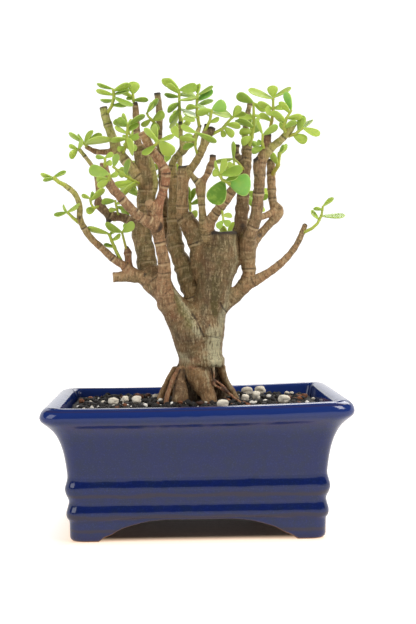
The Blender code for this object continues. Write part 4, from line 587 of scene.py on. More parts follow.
# Patches on the front of the wood: mark, strength, half width, apparent points
PATCHES = [
    ("bloom", 1.0, 9.0, [(15.5, 130), (15, 125), (14, 119), (15.5, 114)]),
    ("bloom", 0.8, 5.0, [(22, 154), (20, 147), (18.5, 140), (18, 134)]),
    ("bloom", 0.85, 3.2, [(-13, 164), (-10, 158), (-8, 154), (-6, 149), (-1, 141), (3, 133.5)]),
    ("bloom", 0.55, 3.6, [(29, 200), (30, 189), (27, 178), (24, 165), (22, 156)]),
    ("bloom", 0.8, 4.5, [(11, 136), (16, 137)]),
    ("bloom", 0.65, 4.0, [(-10, 119), (-5, 116)]),
    ("bloom", 0.6, 1.8, [(7.5, 109), (8.5, 104), (9, 98)]),
    ("bloom", 0.6, 1.6, [(21, 108), (22.5, 102), (25.5, 96)]),
    ("moss", 0.85, 2.8, [(16.5, 172), (14.5, 163), (14, 155), (14.5, 149)]),
    ("moss", 0.6, 4.0, [(-13, 160), (-8, 150), (-3, 141)]),
    ("moss", 0.45, 3.5, [(20, 188), (15, 175), (13, 163)]),
    # dark patches: painted shade on the shaded right column and in hollows and creases low on the
    # trunk
    ("dark", 0.55, 4.0, [(-13, 134), (-7, 130), (0, 130.5)]),
    ("dark", 0.8, 3.2, [(13.5, 205), (13.5, 196)]),
    ("dark", 0.6, 5.0, [(9, 188), (10, 172), (9, 158), (7, 148), (7, 141)]),
    ("dark", 0.55, 6.0, [(20, 204), (19, 196)]),
    ("dark", 0.8, 2.4, [(-6.5, 104), (-4, 98), (-1, 94)]),
    ("dark", 0.5, 4.0, [(-6, 124), (-4, 119)]),
    ("dark", 0.6, 6.0, [(17, 180), (16, 170), (15, 160)]),
    ("red", 0.6, 2.4, [(-4, 110.5), (2, 110.5)]),
    ("red", 0.5, 3.0, [(-3, 116), (3, 115)]),
    ("red", 0.5, 3.5, [(-21, 172), (-21, 160), (-15, 146)]),
    ("red", 0.4, 5.0, [(6, 190), (10, 184)]),
]


# What is written on the points of the bark and of the leaves and green stems, for their
# materials to read, and its values on a stem
BARK_MARKS = ("green", "red", "dark", "bloom", "moss", "groove", "lip", "cut", "core", "scar",
              "root", "old", "along")
LEAF_MARKS = ("tone", "cool", "edge", "foot", "stem", "red")
STEM_MARKS = (0.3, 0.0, 0.0, 0.0, 1.0, 0.0)


# Colours, nodes and materials

def linear(code):
    """An sRGB hex colour as the linear values that Blender's shaders take."""
    parts = [int(code[i:i + 2], 16) / 255 for i in (1, 3, 5)]
    return tuple(c / 12.92 if c <= 0.04045 else ((c + 0.055) / 1.055) ** 2.4 for c in parts)


def per_mm(size):
    """The scale of a texture whose features are this many millimetres across."""
    return 1 / (size * MM)


def add(tree, kind, inputs=None, **settings):
    """A shader node with its settings; inputs are values, or sockets to link from."""
    made = tree.nodes.new("ShaderNode" + kind)
    for name, value in settings.items():
        setattr(made, name, value)
    for key, value in (inputs or {}).items():
        if isinstance(value, bpy.types.NodeSocket):
            tree.links.new(value, made.inputs[key])
        else:
            made.inputs[key].default_value = value
    return made


def washes(tree, colour, *layers):
    """Colours laid over the first one, each as its mask goes from one level to another.

    Each layer: mask, level where it starts, level where it is full, colour, how strong it gets.
    """
    for mask, start, full, over, most in layers:
        share = add(tree, "MapRange", {0: mask, 1: start, 2: full, 3: 0.0, 4: most},
                    interpolation_type="SMOOTHSTEP").outputs[0]
        under, over = (shade if isinstance(shade, bpy.types.NodeSocket) else (*shade, 1.0)
                       for shade in (colour, over))
        colour = add(tree, "Mix", {0: share, 6: under, 7: over}, data_type="RGBA").outputs[2]
    return colour


def new_material(name, **sockets):
    """A material with one Principled shader, its sockets set to constants."""
    made = bpy.data.materials.new(name)
    made.use_nodes = True
    shader = made.node_tree.nodes["Principled BSDF"]
    for socket, value in sockets.items():
        shader.inputs[socket.replace("_", " ")].default_value = value
    return made, made.node_tree, shader


def connect(tree, shader, **sockets):
    """Links from nodes to the shader's sockets."""
    for socket, value in sockets.items():
        tree.links.new(value, shader.inputs[socket.replace("_", " ")])


def bark_material(look):
    """Jade bark: thin living cork, olive-brown where old, tan or green where young. Dull, waxy."""
    made, tree, shader = new_material("grown_jade_bark", IOR=1.45, Roughness=0.62)
    where = add(tree, "TexCoord").outputs["Object"]
    long_way = add(tree, "Mapping", {"Vector": where, "Scale": (1.0, 1.0, 0.2)}).outputs[0]
    # 8 mm blotches, 3.5 mm clouds, 1.6 mm flecks, 1.2 mm fibres drawn out along the trunk and
    # 0.7 mm cork grain
    blotch, cloud, fleck, fibre, grain = (
        add(tree, "TexNoise", {"Vector": way, "Scale": per_mm(size), "Detail": detail,
                               "Roughness": 0.65}).outputs[0]
        for way, size, detail in ((where, 8.0, 3.0), (where, 3.5, 3.0), (where, 1.6, 3.0),
                                  (long_way, 1.2, 3.0), (where, 0.7, 2.0)))
    marks = {name: add(tree, "Attribute", attribute_name=name).outputs["Fac"]
             for name in BARK_MARKS}
    # fine wrinkles 1.4 mm apart that run round the young limbs
    bent = add(tree, "Math", {0: fleck, 1: 1.5, 2: marks["along"]}, operation="MULTIPLY_ADD")
    wrinkle = add(tree, "TexNoise", {"W": bent.outputs[0], "Scale": 1 / 1.4, "Detail": 2.0},
                  noise_dimensions="1D").outputs[0]
    # bloom, partly painted light on the right of the trunk, clings to the fibres, and moss lies
    # between the flecks
    bloomy = add(tree, "Math", {0: fibre, 1: 1.6, 2: marks["bloom"]}, operation="MULTIPLY_ADD")
    mossy = add(tree, "Math", {0: fleck, 1: 0.7, 2: marks["moss"]}, operation="MULTIPLY_ADD")
    young = washes(tree, look.tan, (blotch, 0.35, 0.65, look.olive, 0.85))
    aged = washes(tree, look.old, (blotch, 0.38, 0.62, look.old_olive, 0.85))
    colour = washes(
        tree, young,
        (marks["old"], 0.0, 1.0, aged, 1.0),
        (marks["root"], 0.0, 1.0, look.root, 0.85),
        (marks["red"], 0.0, 1.0, look.red, 0.8),
        (marks["green"], 0.0, 1.0, look.green, 0.95),
        (cloud, 0.5, 0.68, look.pale, 0.2),
        (cloud, 0.48, 0.34, look.fleck, 0.35),
        (bloomy.outputs[0], 0.9, 1.9, look.bloom, 0.95),
        (mossy.outputs[0], 0.5, 1.0, look.moss, 0.85),
        (marks["dark"], 0.0, 1.0, look.dark, 0.85),
        (fleck, 0.54, 0.7, look.pale, 0.3),
        (fibre, 0.53, 0.68, look.pale, 0.42),
        (fleck, 0.44, 0.3, look.fleck, 0.45),
        (fibre, 0.47, 0.34, look.fleck, 0.65),
        # painted shade in the grooves' colour: faint in the fine wrinkle lines, strong in ring
        # grooves and creases
        (wrinkle, 0.42, 0.3, look.groove, 0.25),
        (marks["lip"], 0.15, 0.9, look.pale, 0.65),
        (marks["groove"], 0.12, 0.85, look.groove, 0.85),
        (marks["cut"], 0.3, 0.9, look.cut, 0.9),
        (marks["core"], 0.3, 0.9, look.core, 0.95),
        (marks["scar"], 0.2, 0.9, look.core, 0.75))
    rough = add(tree, "MapRange", {0: marks["green"], 3: 0.72, 4: 0.48}).outputs[0]
    height = grain
    for pattern in (fleck, fibre):
        height = add(tree, "Math", {0: pattern, 1: height}, operation="ADD").outputs[0]
    bump = add(tree, "Bump", {"Height": height, "Strength": 0.6, "Distance": 0.6 * MM})
    connect(tree, shader, Base_Color=colour, Roughness=rough, Normal=bump.outputs[0])
    return made


def leaf_material(look):
    """Jade leaf: a fleshy blade under a wax skin, so it glows a little and shines softly."""
    made, tree, shader = new_material(
        "waxy_jade_leaf", IOR=1.42, Roughness=0.45, Subsurface_Weight=0.35,
        Subsurface_Radius=(0.9, 1.0, 0.25), Subsurface_Scale=1.6 * MM, Specular_IOR_Level=0.3)
    where = add(tree, "TexCoord").outputs["Object"]
    # 4 mm cloudiness in the flesh and 0.7 mm pores in the skin
    cloud, pores = (add(tree, "TexNoise", {"Vector": where, "Scale": per_mm(size), "Detail": 2.0})
                    .outputs[0] for size in (4.0, 0.7))
    tone, cool, edge, foot, stem, red = (
        add(tree, "Attribute", attribute_name=name).outputs["Fac"] for name in LEAF_MARKS)
    colour = washes(
        tree, look.light,
        (tone, 0.15, 0.55, look.mid, 1.0),
        (tone, 0.55, 1.0, look.deep, 1.0),
        (cool, 0.0, 1.0, look.cool, 0.85),
        (cloud, 0.45, 0.7, look.light, 0.3),
        (edge, 0.6, 1.0, look.rim, 0.55),
        (foot, 0.3, 1.0, look.rim, 0.4),
        (stem, 0.4, 0.6, look.stem, 1.0),
        (red, 0.0, 1.0, look.stem_red, 0.8))
    bump = add(tree, "Bump", {"Height": pores, "Strength": 0.15, "Distance": 0.15 * MM})
    connect(tree, shader, Base_Color=colour, Normal=bump.outputs[0])
    return made


def glaze_material(look):
    """Stoneware dipped in cobalt glaze and fired: glassy, deep where it pools, brown where thin."""
    made, tree, shader = new_material("fired_cobalt_glaze", IOR=1.47, Roughness=0.11)
    where = add(tree, "TexCoord").outputs["Object"]
    level = add(tree, "SeparateXYZ", {0: where}).outputs[2]
    runs = add(tree, "Mapping", {"Vector": where, "Scale": (1.0, 1.0, 3.0)}).outputs[0]
    # 30 mm waves in the edge of the thin glaze, 6 mm clouds, and 0.8 mm speckle from the clay
    wave, cloud, speckle = (
        add(tree, "TexNoise", {"Vector": way, "Scale": per_mm(size), "Detail": detail}).outputs[0]
        for way, size, detail in ((runs, 30.0, 2.0), (where, 6.0, 3.0), (where, 0.8, 1.0)))
    thin, bare = (add(tree, "Attribute", attribute_name=name).outputs["Fac"]
                  for name in ("thin", "bare"))
    colour = washes(tree, look.cobalt, (cloud, 0.35, 0.7, look.body, 1.0),
                    (speckle, 0.56, 0.72, look.speck, 0.28))
    wavy = add(tree, "Math", {0: wave, 1: 5.0 * MM, 2: level}, operation="MULTIPLY_ADD").outputs[0]
    for middle, reach in THIN_BANDS:
        off = add(tree, "Math", {0: wavy, 1: middle * MM}, operation="SUBTRACT").outputs[0]
        far = add(tree, "Math", {0: off}, operation="ABSOLUTE").outputs[0]
        colour = washes(tree, colour, (far, reach * MM, 0.2 * reach * MM, look.thin, 0.75))
    colour = washes(tree, colour, (level, RIM_BLUE[0] * MM, RIM_BLUE[1] * MM, look.rim, 0.8),
                    (thin, 0.2, 1.0, look.edge, 0.8), (bare, 0.4, 0.6, look.clay, 1.0))
    rough = add(tree, "MapRange", {0: bare, 1: 0.4, 2: 0.6, 3: 0.11, 4: 0.8}).outputs[0]
    height = add(tree, "Math", {0: cloud, 1: 6.0, 2: speckle}, operation="MULTIPLY_ADD").outputs[0]
    bump = add(tree, "Bump", {"Height": height, "Strength": 0.12, "Distance": 0.12 * MM})
    connect(tree, shader, Base_Color=colour, Roughness=rough, Normal=bump.outputs[0])
    return made


def grit_material(name, light, dark, spots, size, rough, spot_share=0.5):
    """Broken mineral or bark: matt and uneven, with small spots or pits of another shade; on the
    soil and the lava these spots are painted glints.
    """
    made, tree, shader = new_material(name, IOR=1.5, Roughness=rough)
    where = add(tree, "TexCoord").outputs["Object"]
    each = add(tree, "Attribute", attribute_name="tone").outputs["Fac"]
    # patches as wide as a grain's face, and spots a fifth of that
    patch, spot = (add(tree, "TexNoise", {"Vector": where, "Scale": per_mm(s), "Detail": 3.0})
                   .outputs[0] for s in (size, size / 5))
    colour = washes(tree, light, (each, 0.2, 0.9, dark, 1.0), (patch, 0.4, 0.65, dark, 0.5),
                    (spot, 0.48, 0.34, spots, spot_share))
    bump = add(tree, "Bump", {"Height": spot, "Strength": 0.6, "Distance": 0.3 * MM})
    connect(tree, shader, Base_Color=colour, Normal=bump.outputs[0])
    return made


# The tree as listed, which repeats the CAD source

def seen(x, z, depth):
    """The point at this depth that the eye sees at x, z on the plane through the pot."""
    on_plane = Vector((x, 0.0, z))
    return EYE + (on_plane - EYE) * ((depth - EYE.y) / -EYE.y)


def spread(x, z, depth):
    """The same for a listed depth, which grows with height as the crown widens."""
    share = min(max((z - SPREAD_FROM) / (SPREAD_FULL - SPREAD_FROM), 0.0), 1.0)
    return seen(x, z, depth * (1 + share * ((FRONT_SPREAD if depth < 0 else BACK_SPREAD) - 1)))


def curve(places, i, step):
    """Points from listed place i towards the next on a smooth curve, each with its share."""
    a, b = places[max(i - 1, 0)], places[i]
    c, d = places[i + 1], places[min(i + 2, len(places) - 1)]
    count = max(1, round((c - b).length / step))
    for k in range(count):
        t = k / count
        yield t, 0.5 * (2 * b + (c - a) * t + (2 * a - 5 * b + 4 * c - d) * t * t
                        + (3 * b - a - 3 * c + d) * t ** 3)


def smooth_path(points, step):
    """Points with radii along a smooth curve through the listed ones, about a step apart."""
    places = [spread(x, z, y) for x, z, y, _ in points]
    radii = [p[3] for p in points]
    path = []
    for i in range(len(places) - 1):
        path += [(place, radii[i] + (radii[i + 1] - radii[i]) * t)
                 for t, place in curve(places, i, step)]
    path.append((places[-1], radii[-1]))
    return path


def tube_points(path, sides):
    """Rings of points round a path, carried along it without twist."""
    points = []
    across = Vector((0.0, 1.0, 0.0))
    for i, (place, radius) in enumerate(path):
        ahead = (path[min(i + 1, len(path) - 1)][0] - path[max(i - 1, 0)][0]).normalized()
        across = (across - ahead * across.dot(ahead)).normalized()
        other = ahead.cross(across)
        for k in range(sides):
            angle = 2 * math.pi * k / sides
            points.append(place + radius * (math.cos(angle) * across + math.sin(angle) * other))
    return points


def ring_faces(rings, size):
    """Quads between rings of points, and a cap on each end."""
    faces = []
    for i in range(rings - 1):
        for k in range(size):
            a, b = i * size + k, i * size + (k + 1) % size
            faces.append((a, b, b + size, a + size))
    faces.append(tuple(reversed(range(size))))
    faces.append(tuple(range((rings - 1) * size, rings * size)))
    return faces


def along_stem(path, share):
    """The point of a stem at a share of its length."""
    lengths = [(b[0] - a[0]).length for a, b in zip(path, path[1:])]
    left = share * sum(lengths)
    for (a, b), length in zip(zip(path, path[1:]), lengths):
        if left <= length:
            return a[0].lerp(b[0], left / length)
        left -= length
    return path[-1][0]


def leaf_frame(base, tip, seen_width, draw):
    """Length, width and directions of a blade: turned so that the width seen is right."""
    ahead = (tip - base).normalized()
    length = (tip - base).length
    width = max(seen_width, LEAF_BROAD * length)
    view = (base - EYE).normalized()
    side = ahead.cross(view).normalized()
    out = side.cross(ahead)
    tilt = math.acos(min(seen_width / width, 1.0)) * (1 if draw.random() < LEAF_FACES_UP else -1)
    across = math.cos(tilt) * side + math.sin(tilt) * out
    up = across.cross(ahead)
    if up.z < 0:
        across, up = -across, -up
    return ahead, across, up, length, width


def front_shoots():
    """Stem path and listed leaves of each shoot that the front view shows."""
    for name, (stem, leaves) in SHOOTS.items():
        path = smooth_path(stem, STEM_STEP)
        listed = [(along_stem(path, share), seen(x, z, along_stem(path, share).y + lean), width)
                  for share, x, z, width, lean in leaves]
        yield name, path, listed


def back_shoots():
    """Shoots on the far side: pairs of leaves, each pair a quarter turn from the last."""
    draw = random.Random(BACK_SEED)
    for name, (start, way, length) in BACK_SHOOTS.items():
        x, z, depth = start
        foot = spread(x, z, depth)
        way = Vector(way).normalized()
        bend = Vector((draw.uniform(-BACK_BEND, BACK_BEND), draw.uniform(-BACK_BEND, BACK_BEND),
                       BACK_RISE))
        path = []
        for k in range(BACK_POINTS):
            t = k / (BACK_POINTS - 1)
            path.append((foot + (way * t + bend * t * t) * length,
                         BACK_STEM_R - BACK_STEM_THIN * t))
        side = way.orthogonal().normalized()
        other = way.cross(side)
        listed = []
        for pair in range(BACK_PAIRS):
            share = BACK_FIRST + (1 - BACK_FIRST) * pair / (BACK_PAIRS - 1)
            angle = math.radians(90 * pair + draw.uniform(-BACK_TURN, BACK_TURN))
            for turn in (angle, angle + math.pi):
                base = along_stem(path, share)
                out = math.cos(turn) * side + math.sin(turn) * other
                reach = draw.uniform(*BACK_LEAF)
                tip = base + (out + way * draw.uniform(*BACK_AHEAD)).normalized() * reach
                listed.append((base, tip, BACK_LEAF_WIDTH * reach))
        yield name, path, listed


# Meshes

def stand(points):
    """Millimetre points as metres in the shared frame, kept inside the CAD's box."""
    placed = np.array([tuple(p) for p in points], float) + (STAND_X, 0.0, 0.0)
    return np.clip(placed * MM, CAD_BOX[0], CAD_BOX[1])


def new_piece(name, points, faces, made_of, instead=(), marks=None):
    """A mesh piece of the object, riding on its one body."""
    mesh = bpy.data.meshes.new(name)
    mesh.from_pydata(stand(points).tolist(), [], faces)
    piece = bpy.data.objects.new(name, mesh)
    bpy.context.scene.collection.objects.link(piece)
    set_marks(mesh, marks or {})
    mesh.materials.append(made_of)
    mesh.shade_smooth()
    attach(piece, "root")
    if instead:
        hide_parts(*instead)
    return piece


def set_marks(mesh, marks):
    """Values on a mesh's points, for its material to read."""
    for mark, values in marks.items():
        layer = mesh.attributes.new(mark, "FLOAT", "POINT")
        layer.data.foreach_set("value", np.asarray(values, np.float32))


def join_shape(points, faces, more_points, more_faces):
    """Adds one shape's points and faces to those of a piece."""
    faces += [tuple(i + len(points) for i in face) for face in more_faces]
    points += more_points


def find_tree(points, mesh):
    """A mesh at these points, ready for finding places on it."""
    return BVHTree.FromPolygons([tuple(p) for p in points],
                                [tuple(f.vertices) for f in mesh.polygons])


def rounded_ring(half, height, corner=None):
    """One level of the pot: a rectangle with round corners, in evenly spread points."""
    share = min(max(height / RIM_TOP, 0.0), 1.0)
    if corner is None:
        corner = CORNER_BASE + (CORNER_RIM - CORNER_BASE) * share ** 3
    deep = half - DEPTH_LESS
    points = []
    for sx, sy, start in ((1, 1, 0), (-1, 1, 90), (-1, -1, 180), (1, -1, 270)):
        for k in range(RING_CORNER):
            angle = math.radians(start + 90 * k / (RING_CORNER - 1))
            points.append([sx * (half - corner) + corner * math.cos(angle),
                           sy * (deep - corner) + corner * math.sin(angle), height])
        count, reach = (RING_LONG, half - corner) if sx == sy else (RING_SHORT, deep - corner)
        for k in range(1, count):
            t = (1 - 2 * k / count) * reach
            points.append([t * sx, sy * deep, height] if sx == sy else [sx * half, t * sy, height])
    return points


def smooth_profile(points, step):
    """A denser outline through the listed corners of a section."""
    corners = [Vector(p) for p in points]
    made = [tuple(p) for i in range(len(corners) - 1) for _, p in curve(corners, i, step)]
    return made + [points[-1]]


def arch_height(x, y):
    """How high the foot line stands at this place under the wall."""
    reach, rise = zip(*reversed(ARCH))
    front = np.interp(abs(x), reach, rise)
    side = np.interp(abs(y) / SIDE_ARCH_SCALE, reach, rise)
    return front if abs(y) > abs(x) - DEPTH_LESS else side


def cut_round(thing, x, y, low, high, radius):
    """A round hole straight down through a piece."""
    sides = 48
    angles = [2 * math.pi * k / sides for k in range(sides)]
    mesh = bpy.data.meshes.new("cutter")
    mesh.from_pydata([((x + radius * math.cos(angle) + STAND_X) * MM,
                       (y + radius * math.sin(angle)) * MM, z * MM)
                      for z in (low, high) for angle in angles], [], ring_faces(2, sides))
    cutter = bpy.data.objects.new("cutter", mesh)
    bpy.context.scene.collection.objects.link(cutter)
    step = thing.modifiers.new("hole", "BOOLEAN")
    step.operation = "DIFFERENCE"
    step.object = cutter
    step.solver = "EXACT"
    apply_modifiers(thing)
    bpy.data.objects.remove(cutter)


def apply_modifiers(thing):
    final = thing.evaluated_get(bpy.context.evaluated_depsgraph_get())
    shape = bpy.data.meshes.new_from_object(final)
    thing.modifiers.clear()
    thing.data = shape


def make_pot(look):
    """The glazed pot as one skin: recessed foot, arches, ridges, flared rim and inside wall."""
    outside = smooth_profile(POT_FOOT, 1.5) + smooth_profile(POT_WALL, 1.5)
    section = outside + smooth_profile(POT_INSIDE, 2.5)
    points, thin, bare = [], [], []
    for row, (half, height) in enumerate(section):
        share = min(max(height / RIM_TOP, 0.0), 1.0)
        for x, y, z in rounded_ring(half, height, None if row < len(outside) else CORNER_INSIDE):
            if height < UNDERSIDE and half > POT_FOOT[2][0] - 0.1:
                rise = arch_height(x, y)
                z = rise + z * (1 - rise / (UNDERSIDE + 0.6))
            across = x / RIM_HALF
            z += share * share * (RIM_RISE * across - RIM_SAG * (1 - across * across))
            wave = WAVES[1] * noise.noise(Vector((x, y, z)) / WAVES[0])
            ripple = RIPPLES[1] * noise.noise(Vector((x, y * 1.3, z)) / RIPPLES[0]) + wave
            # waves only lean inwards, and fade out at the foot
            outward = Vector((x, y, 0)).normalized() * min(ripple, 0.0) * min(share * 6, 1.0)
            points.append((x + outward.x, y + outward.y, z))
            lip = foot = 0.0
            if half > LIP_OUTSIDE:
                lip = 0.8 * math.exp(-((height - LIP_HEIGHT) / LIP_REACH) ** 2)
            if FOOT_LINE[0] < half < FOOT_LINE[1]:
                foot = math.exp(-(max(z - arch_height(x, y), 0.0) / FOOT_REACH) ** 2)
            thin.append(min(1.0, lip + 0.8 * foot))
            clay = row < len(outside) and height < UNDERSIDE + 0.1 and half < FOOT_LINE[0]
            bare.append(1.0 if clay else 0.0)
    size = len(points) // len(section)
    pot = new_piece("glazed_pot", points, ring_faces(len(section), size), glaze_material(look),
                    ["pot"], {"thin": thin, "bare": bare})
    for x in (-DRAIN_X, DRAIN_X):
        cut_round(pot, x, 0.0, UNDERSIDE - 4.0, FLOOR_TOP + 4.0, DRAIN_R)


def soil_height(x, y):
    """The mound of the soil's top, between the rings that it is built from."""
    share = max(abs(x) / SOIL_HALF, abs(y) / (SOIL_HALF - DEPTH_LESS))
    for (far, low), (near, high) in zip(SOIL_RINGS, SOIL_RINGS[1:]):
        if share >= near:
            return low + (high - low) * (far - share) / (far - near)
    return SOIL_RINGS[-1][1]


def make_soil(look):
    """The body of the mix: a dark uneven mound from wall to wall."""
    points = rounded_ring(SOIL_HALF - SOIL_CLEAR, SOIL_BOTTOM, CORNER_INSIDE)
    shares = [1.0, 0.985] + [0.97 - 0.022 * k for k in range(43)]
    rings = 1 + len(shares)
    for share in shares:
        for x, y, _ in rounded_ring(SOIL_HALF, SOIL_RINGS[0][1], CORNER_INSIDE):
            x, y = x * share, y * share
            # lumps 3.2 mm and 1.5 mm across
            rough = (1.1 * noise.noise(Vector((x, y, 0)) / 3.2)
                     + 0.7 * noise.noise(Vector((x, y, 5)) / 1.5))
            points.append((x, y, soil_height(x, y) - SOIL_LOW + rough))
    tone = [0.5 + 0.5 * noise.noise(Vector(p) / 6) for p in points]
    # the soil's pale spots are painted glints
    material = grit_material("damp_peat_and_lava_mix", look.peat, look.lava, look.painted_glint, 5.0, 0.8)
    new_piece("soil_mound", points, ring_faces(rings, len(points) // rings), material,
              ["soil"], {"tone": tone})


def lump(centre, size, turn, seed, detail, roughness):
    """Points and faces of one broken grain: an uneven, flattened ball."""
    shape = bmesh.new()
    bmesh.ops.create_icosphere(shape, subdivisions=detail, radius=1.0)
    draw = random.Random(seed)
    off = Vector((draw.uniform(0, 99), draw.uniform(0, 99), draw.uniform(0, 99)))
    points = []
    for vert in shape.verts:
        way = vert.co.normalized()
        swell = 1 + roughness * (noise.noise(way * 1.2 + off) + 0.5 * noise.noise(way * 2.6 + off)
                                 + 0.25 * noise.noise(way * 6.0 + off))
        dx, dy, dz = (way.x * size[0] * swell, way.y * size[1] * swell, way.z * size[2] * swell)
        points.append((centre[0] + dx * math.cos(turn) - dy * math.sin(turn),
                       centre[1] + dx * math.sin(turn) + dy * math.cos(turn), centre[2] + dz))
    faces = [tuple(v.index for v in face.verts) for face in shape.faces]
    shape.free()
    return points, faces


def grains(name, places, material, detail, roughness, instead=()):
    """Many grains in one piece. Each place: centre, half sizes, turn."""
    points, faces, tone = [], [], []
    for number, (centre, size, turn) in enumerate(places):
        draw = random.Random(number)
        more, sides = lump(centre, size, turn, number, detail, roughness)
        join_shape(points, faces, more, sides)
        tone += [draw.random()] * len(more)
    new_piece(name, points, faces, material, instead, {"tone": tone})


def strewn(seed, count, low, high, keep_off):
    """Seeded places for grains of one kind, clear of the trunk and the wall."""
    draw = random.Random(seed)
    made = []
    while len(made) < count:
        half = low + (high - low) * draw.random() ** 2
        x, y = draw.uniform(-STREWN[0], STREWN[0]), draw.uniform(-STREWN[1], STREWN[1])
        turn, lift = draw.uniform(0, math.pi), draw.uniform(-0.4, 0.5)
        flat = draw.uniform(0.55, 0.85)
        if all(math.hypot(x - a, y - b) > r + half for a, b, r in keep_off):
            made.append(((x, y, soil_height(x, y) + lift * half),
                         (half, half * STONE_BROAD, half * flat), turn))
    return made


def pumice_places():
    """Where each listed pumice stone lies: its apparent place turned into a real one."""
    places = {}
    for name, (x, z, depth, half) in PUMICE.items():
        real = seen(x, z, depth)
        places[name] = (real.x, real.y, half)
    return places


def listed_bits():
    """Small stones and chips that the front view shows: kind, and place and half length."""
    for kind, bits in BITS.items():
        for x, z, half in bits:
            on_plane = Vector((x, 0.0, z))
            reach = (EYE.z - SOIL_LEVEL) / (EYE.z - on_plane.z)
            place = EYE + (on_plane - EYE) * reach
            yield kind, (place.x, min(max(place.y, -54.0), 56.0), half)


# The wood, moved onto a smooth surface round its listed limbs

class Branch:
    """One listed limb as points with radii, distances along it, and the places of its rings."""

    def __init__(self, name, points, look):
        path = smooth_path(points, look.step / MM)
        self.root = name.startswith("root")
        self.places = np.array([tuple(p) for p, _ in path])
        self.radii = np.array([r for _, r in path])
        self.runs = self.places[1:] - self.places[:-1]
        lengths = np.linalg.norm(self.runs, axis=1)
        self.along = np.concatenate([[0.0], np.cumsum(lengths)])
        self.heading = self.runs[-1] / lengths[-1]
        self.cut = name not in GROWING_ENDS and not self.root
        self.collar = name == "trunk"
        self.lowest = self.runs[0] / lengths[0]
        self.pale_cut = name in PALE_CUTS
        self.tint = TINTS.get(name, (0.0, 0.0, 0.15, 0.1))
        draw = random.Random(name)
        spacing = look.ring_spacing / MM * (0.55 + 0.1 * self.radii.mean())
        places = [-draw.uniform(0.2, 1.0) * spacing]
        while places[-1] < self.along[-1] + spacing:
            places.append(places[-1] + spacing * draw.uniform(0.7, 1.3))
        self.rings = np.array(places)
        self.strength = np.array([draw.uniform(0.35, 1.0) for _ in places])
        self.swell = 0.0 if self.root else 0.02 if self.radii.mean() > 7 else 0.04
        # opposite leaf scars on each ring, a quarter turn on from those of the ring before
        across = np.cross(self.heading, (0.0, 1.0, 0.0))
        across /= np.linalg.norm(across)
        upward = np.cross(self.heading, across)
        start = draw.uniform(0, math.pi)
        turns = start + np.arange(len(places)) * math.pi / 2
        self.weathered = 0.0 if self.pale_cut or not self.cut else draw.uniform(0.75, 1.1)
        self.scar_ways = np.outer(np.cos(turns), across) + np.outer(np.sin(turns), upward)

    def reach(self, points, wobble):
        """For each point: distance out from the skin, and where it lies among the rings."""
        best = np.full(len(points), np.inf)
        along = np.zeros(len(points))
        outward = np.zeros((len(points), 3))
        for a, run, start in zip(self.places, self.runs, self.along):
            size = run @ run
            share = np.clip((points - a) @ run / size, 0.0, 1.0)
            gap = points - a - share[:, None] * run
            far = (gap * gap).sum(1)
            nearer = far < best
            best[nearer] = far[nearer]
            outward[nearer] = gap[nearer]
            along[nearer] = start + share[nearer] * math.sqrt(size)
        past = (points - self.places[-1]) @ self.heading
        before = (self.places[0] - points) @ self.lowest
        at_end = along > self.along[-1] - END_REACH
        shifted = along + wobble
        next_ring = np.clip(np.searchsorted(self.rings, shifted), 1, len(self.rings) - 1)
        low, high = self.rings[next_ring - 1], self.rings[next_ring]
        phase = (shifted - low) / (high - low)
        to_ring = np.minimum(shifted - low, high - shifted)
        below = shifted - low < high - shifted
        ring = np.where(below, next_ring - 1, next_ring)
        out = np.sqrt(best)
        facing = np.abs((outward * self.scar_ways[ring]).sum(1)) / np.maximum(out, 1e-6)
        radius = np.interp(along, self.along, self.radii)
        fade = np.clip((RING_FADE[1] - radius) / (RING_FADE[1] - RING_FADE[0]), 0.0, 1.0)
        strength = self.strength[ring] * fade
        radius *= 1 + self.swell * (0.4 + strength) * np.cos(2 * np.pi * phase)
        skin = out - radius
        side = out
        if self.cut:
            side = np.sqrt(np.maximum(((points - self.places[-1]) ** 2).sum(1) - past ** 2, 0.0))
            skin = np.where(at_end, flat_cap(side - radius, past), skin)
        if self.collar:
            under = np.sqrt(np.maximum(((points - self.places[0]) ** 2).sum(1) - before ** 2, 0.0))
            skin = np.where(along < END_REACH, flat_cap(under - radius, before), skin)
        if self.root:
            skin = np.maximum(skin, points[:, 2] - COLLAR_LEDGE)
        before_ring = to_ring * np.where(below, 1.0, -1.0)
        marks = {"groove": strength * np.exp(-(to_ring / GROOVE_REACH) ** 2),
                 "lip": strength * np.exp(-((before_ring + RING_LIP[0]) / RING_LIP[1]) ** 2),
                 "node": facing ** 8 * np.exp(-(to_ring / NODE_REACH) ** 2),
                 "spot": strength * facing ** 40 * np.exp(-(to_ring / SPOT_REACH) ** 2)}
        return skin, along, marks, past, side


def flat_cap(out, past):
    """Distance from a limb's flat end with its rounded edge."""
    a, b = out + END_EDGE, past + END_EDGE
    return np.hypot(np.maximum(a, 0), np.maximum(b, 0)) + np.minimum(np.maximum(a, b), 0) - END_EDGE


def noise_at(points, size, offset=0.0, squash=1.0):
    """Smooth noise at each point, with features of this many millimetres."""
    return np.array([noise.noise(Vector((x / size, y / size, z * squash / size + offset)))
                     for x, y, z in points.tolist()])


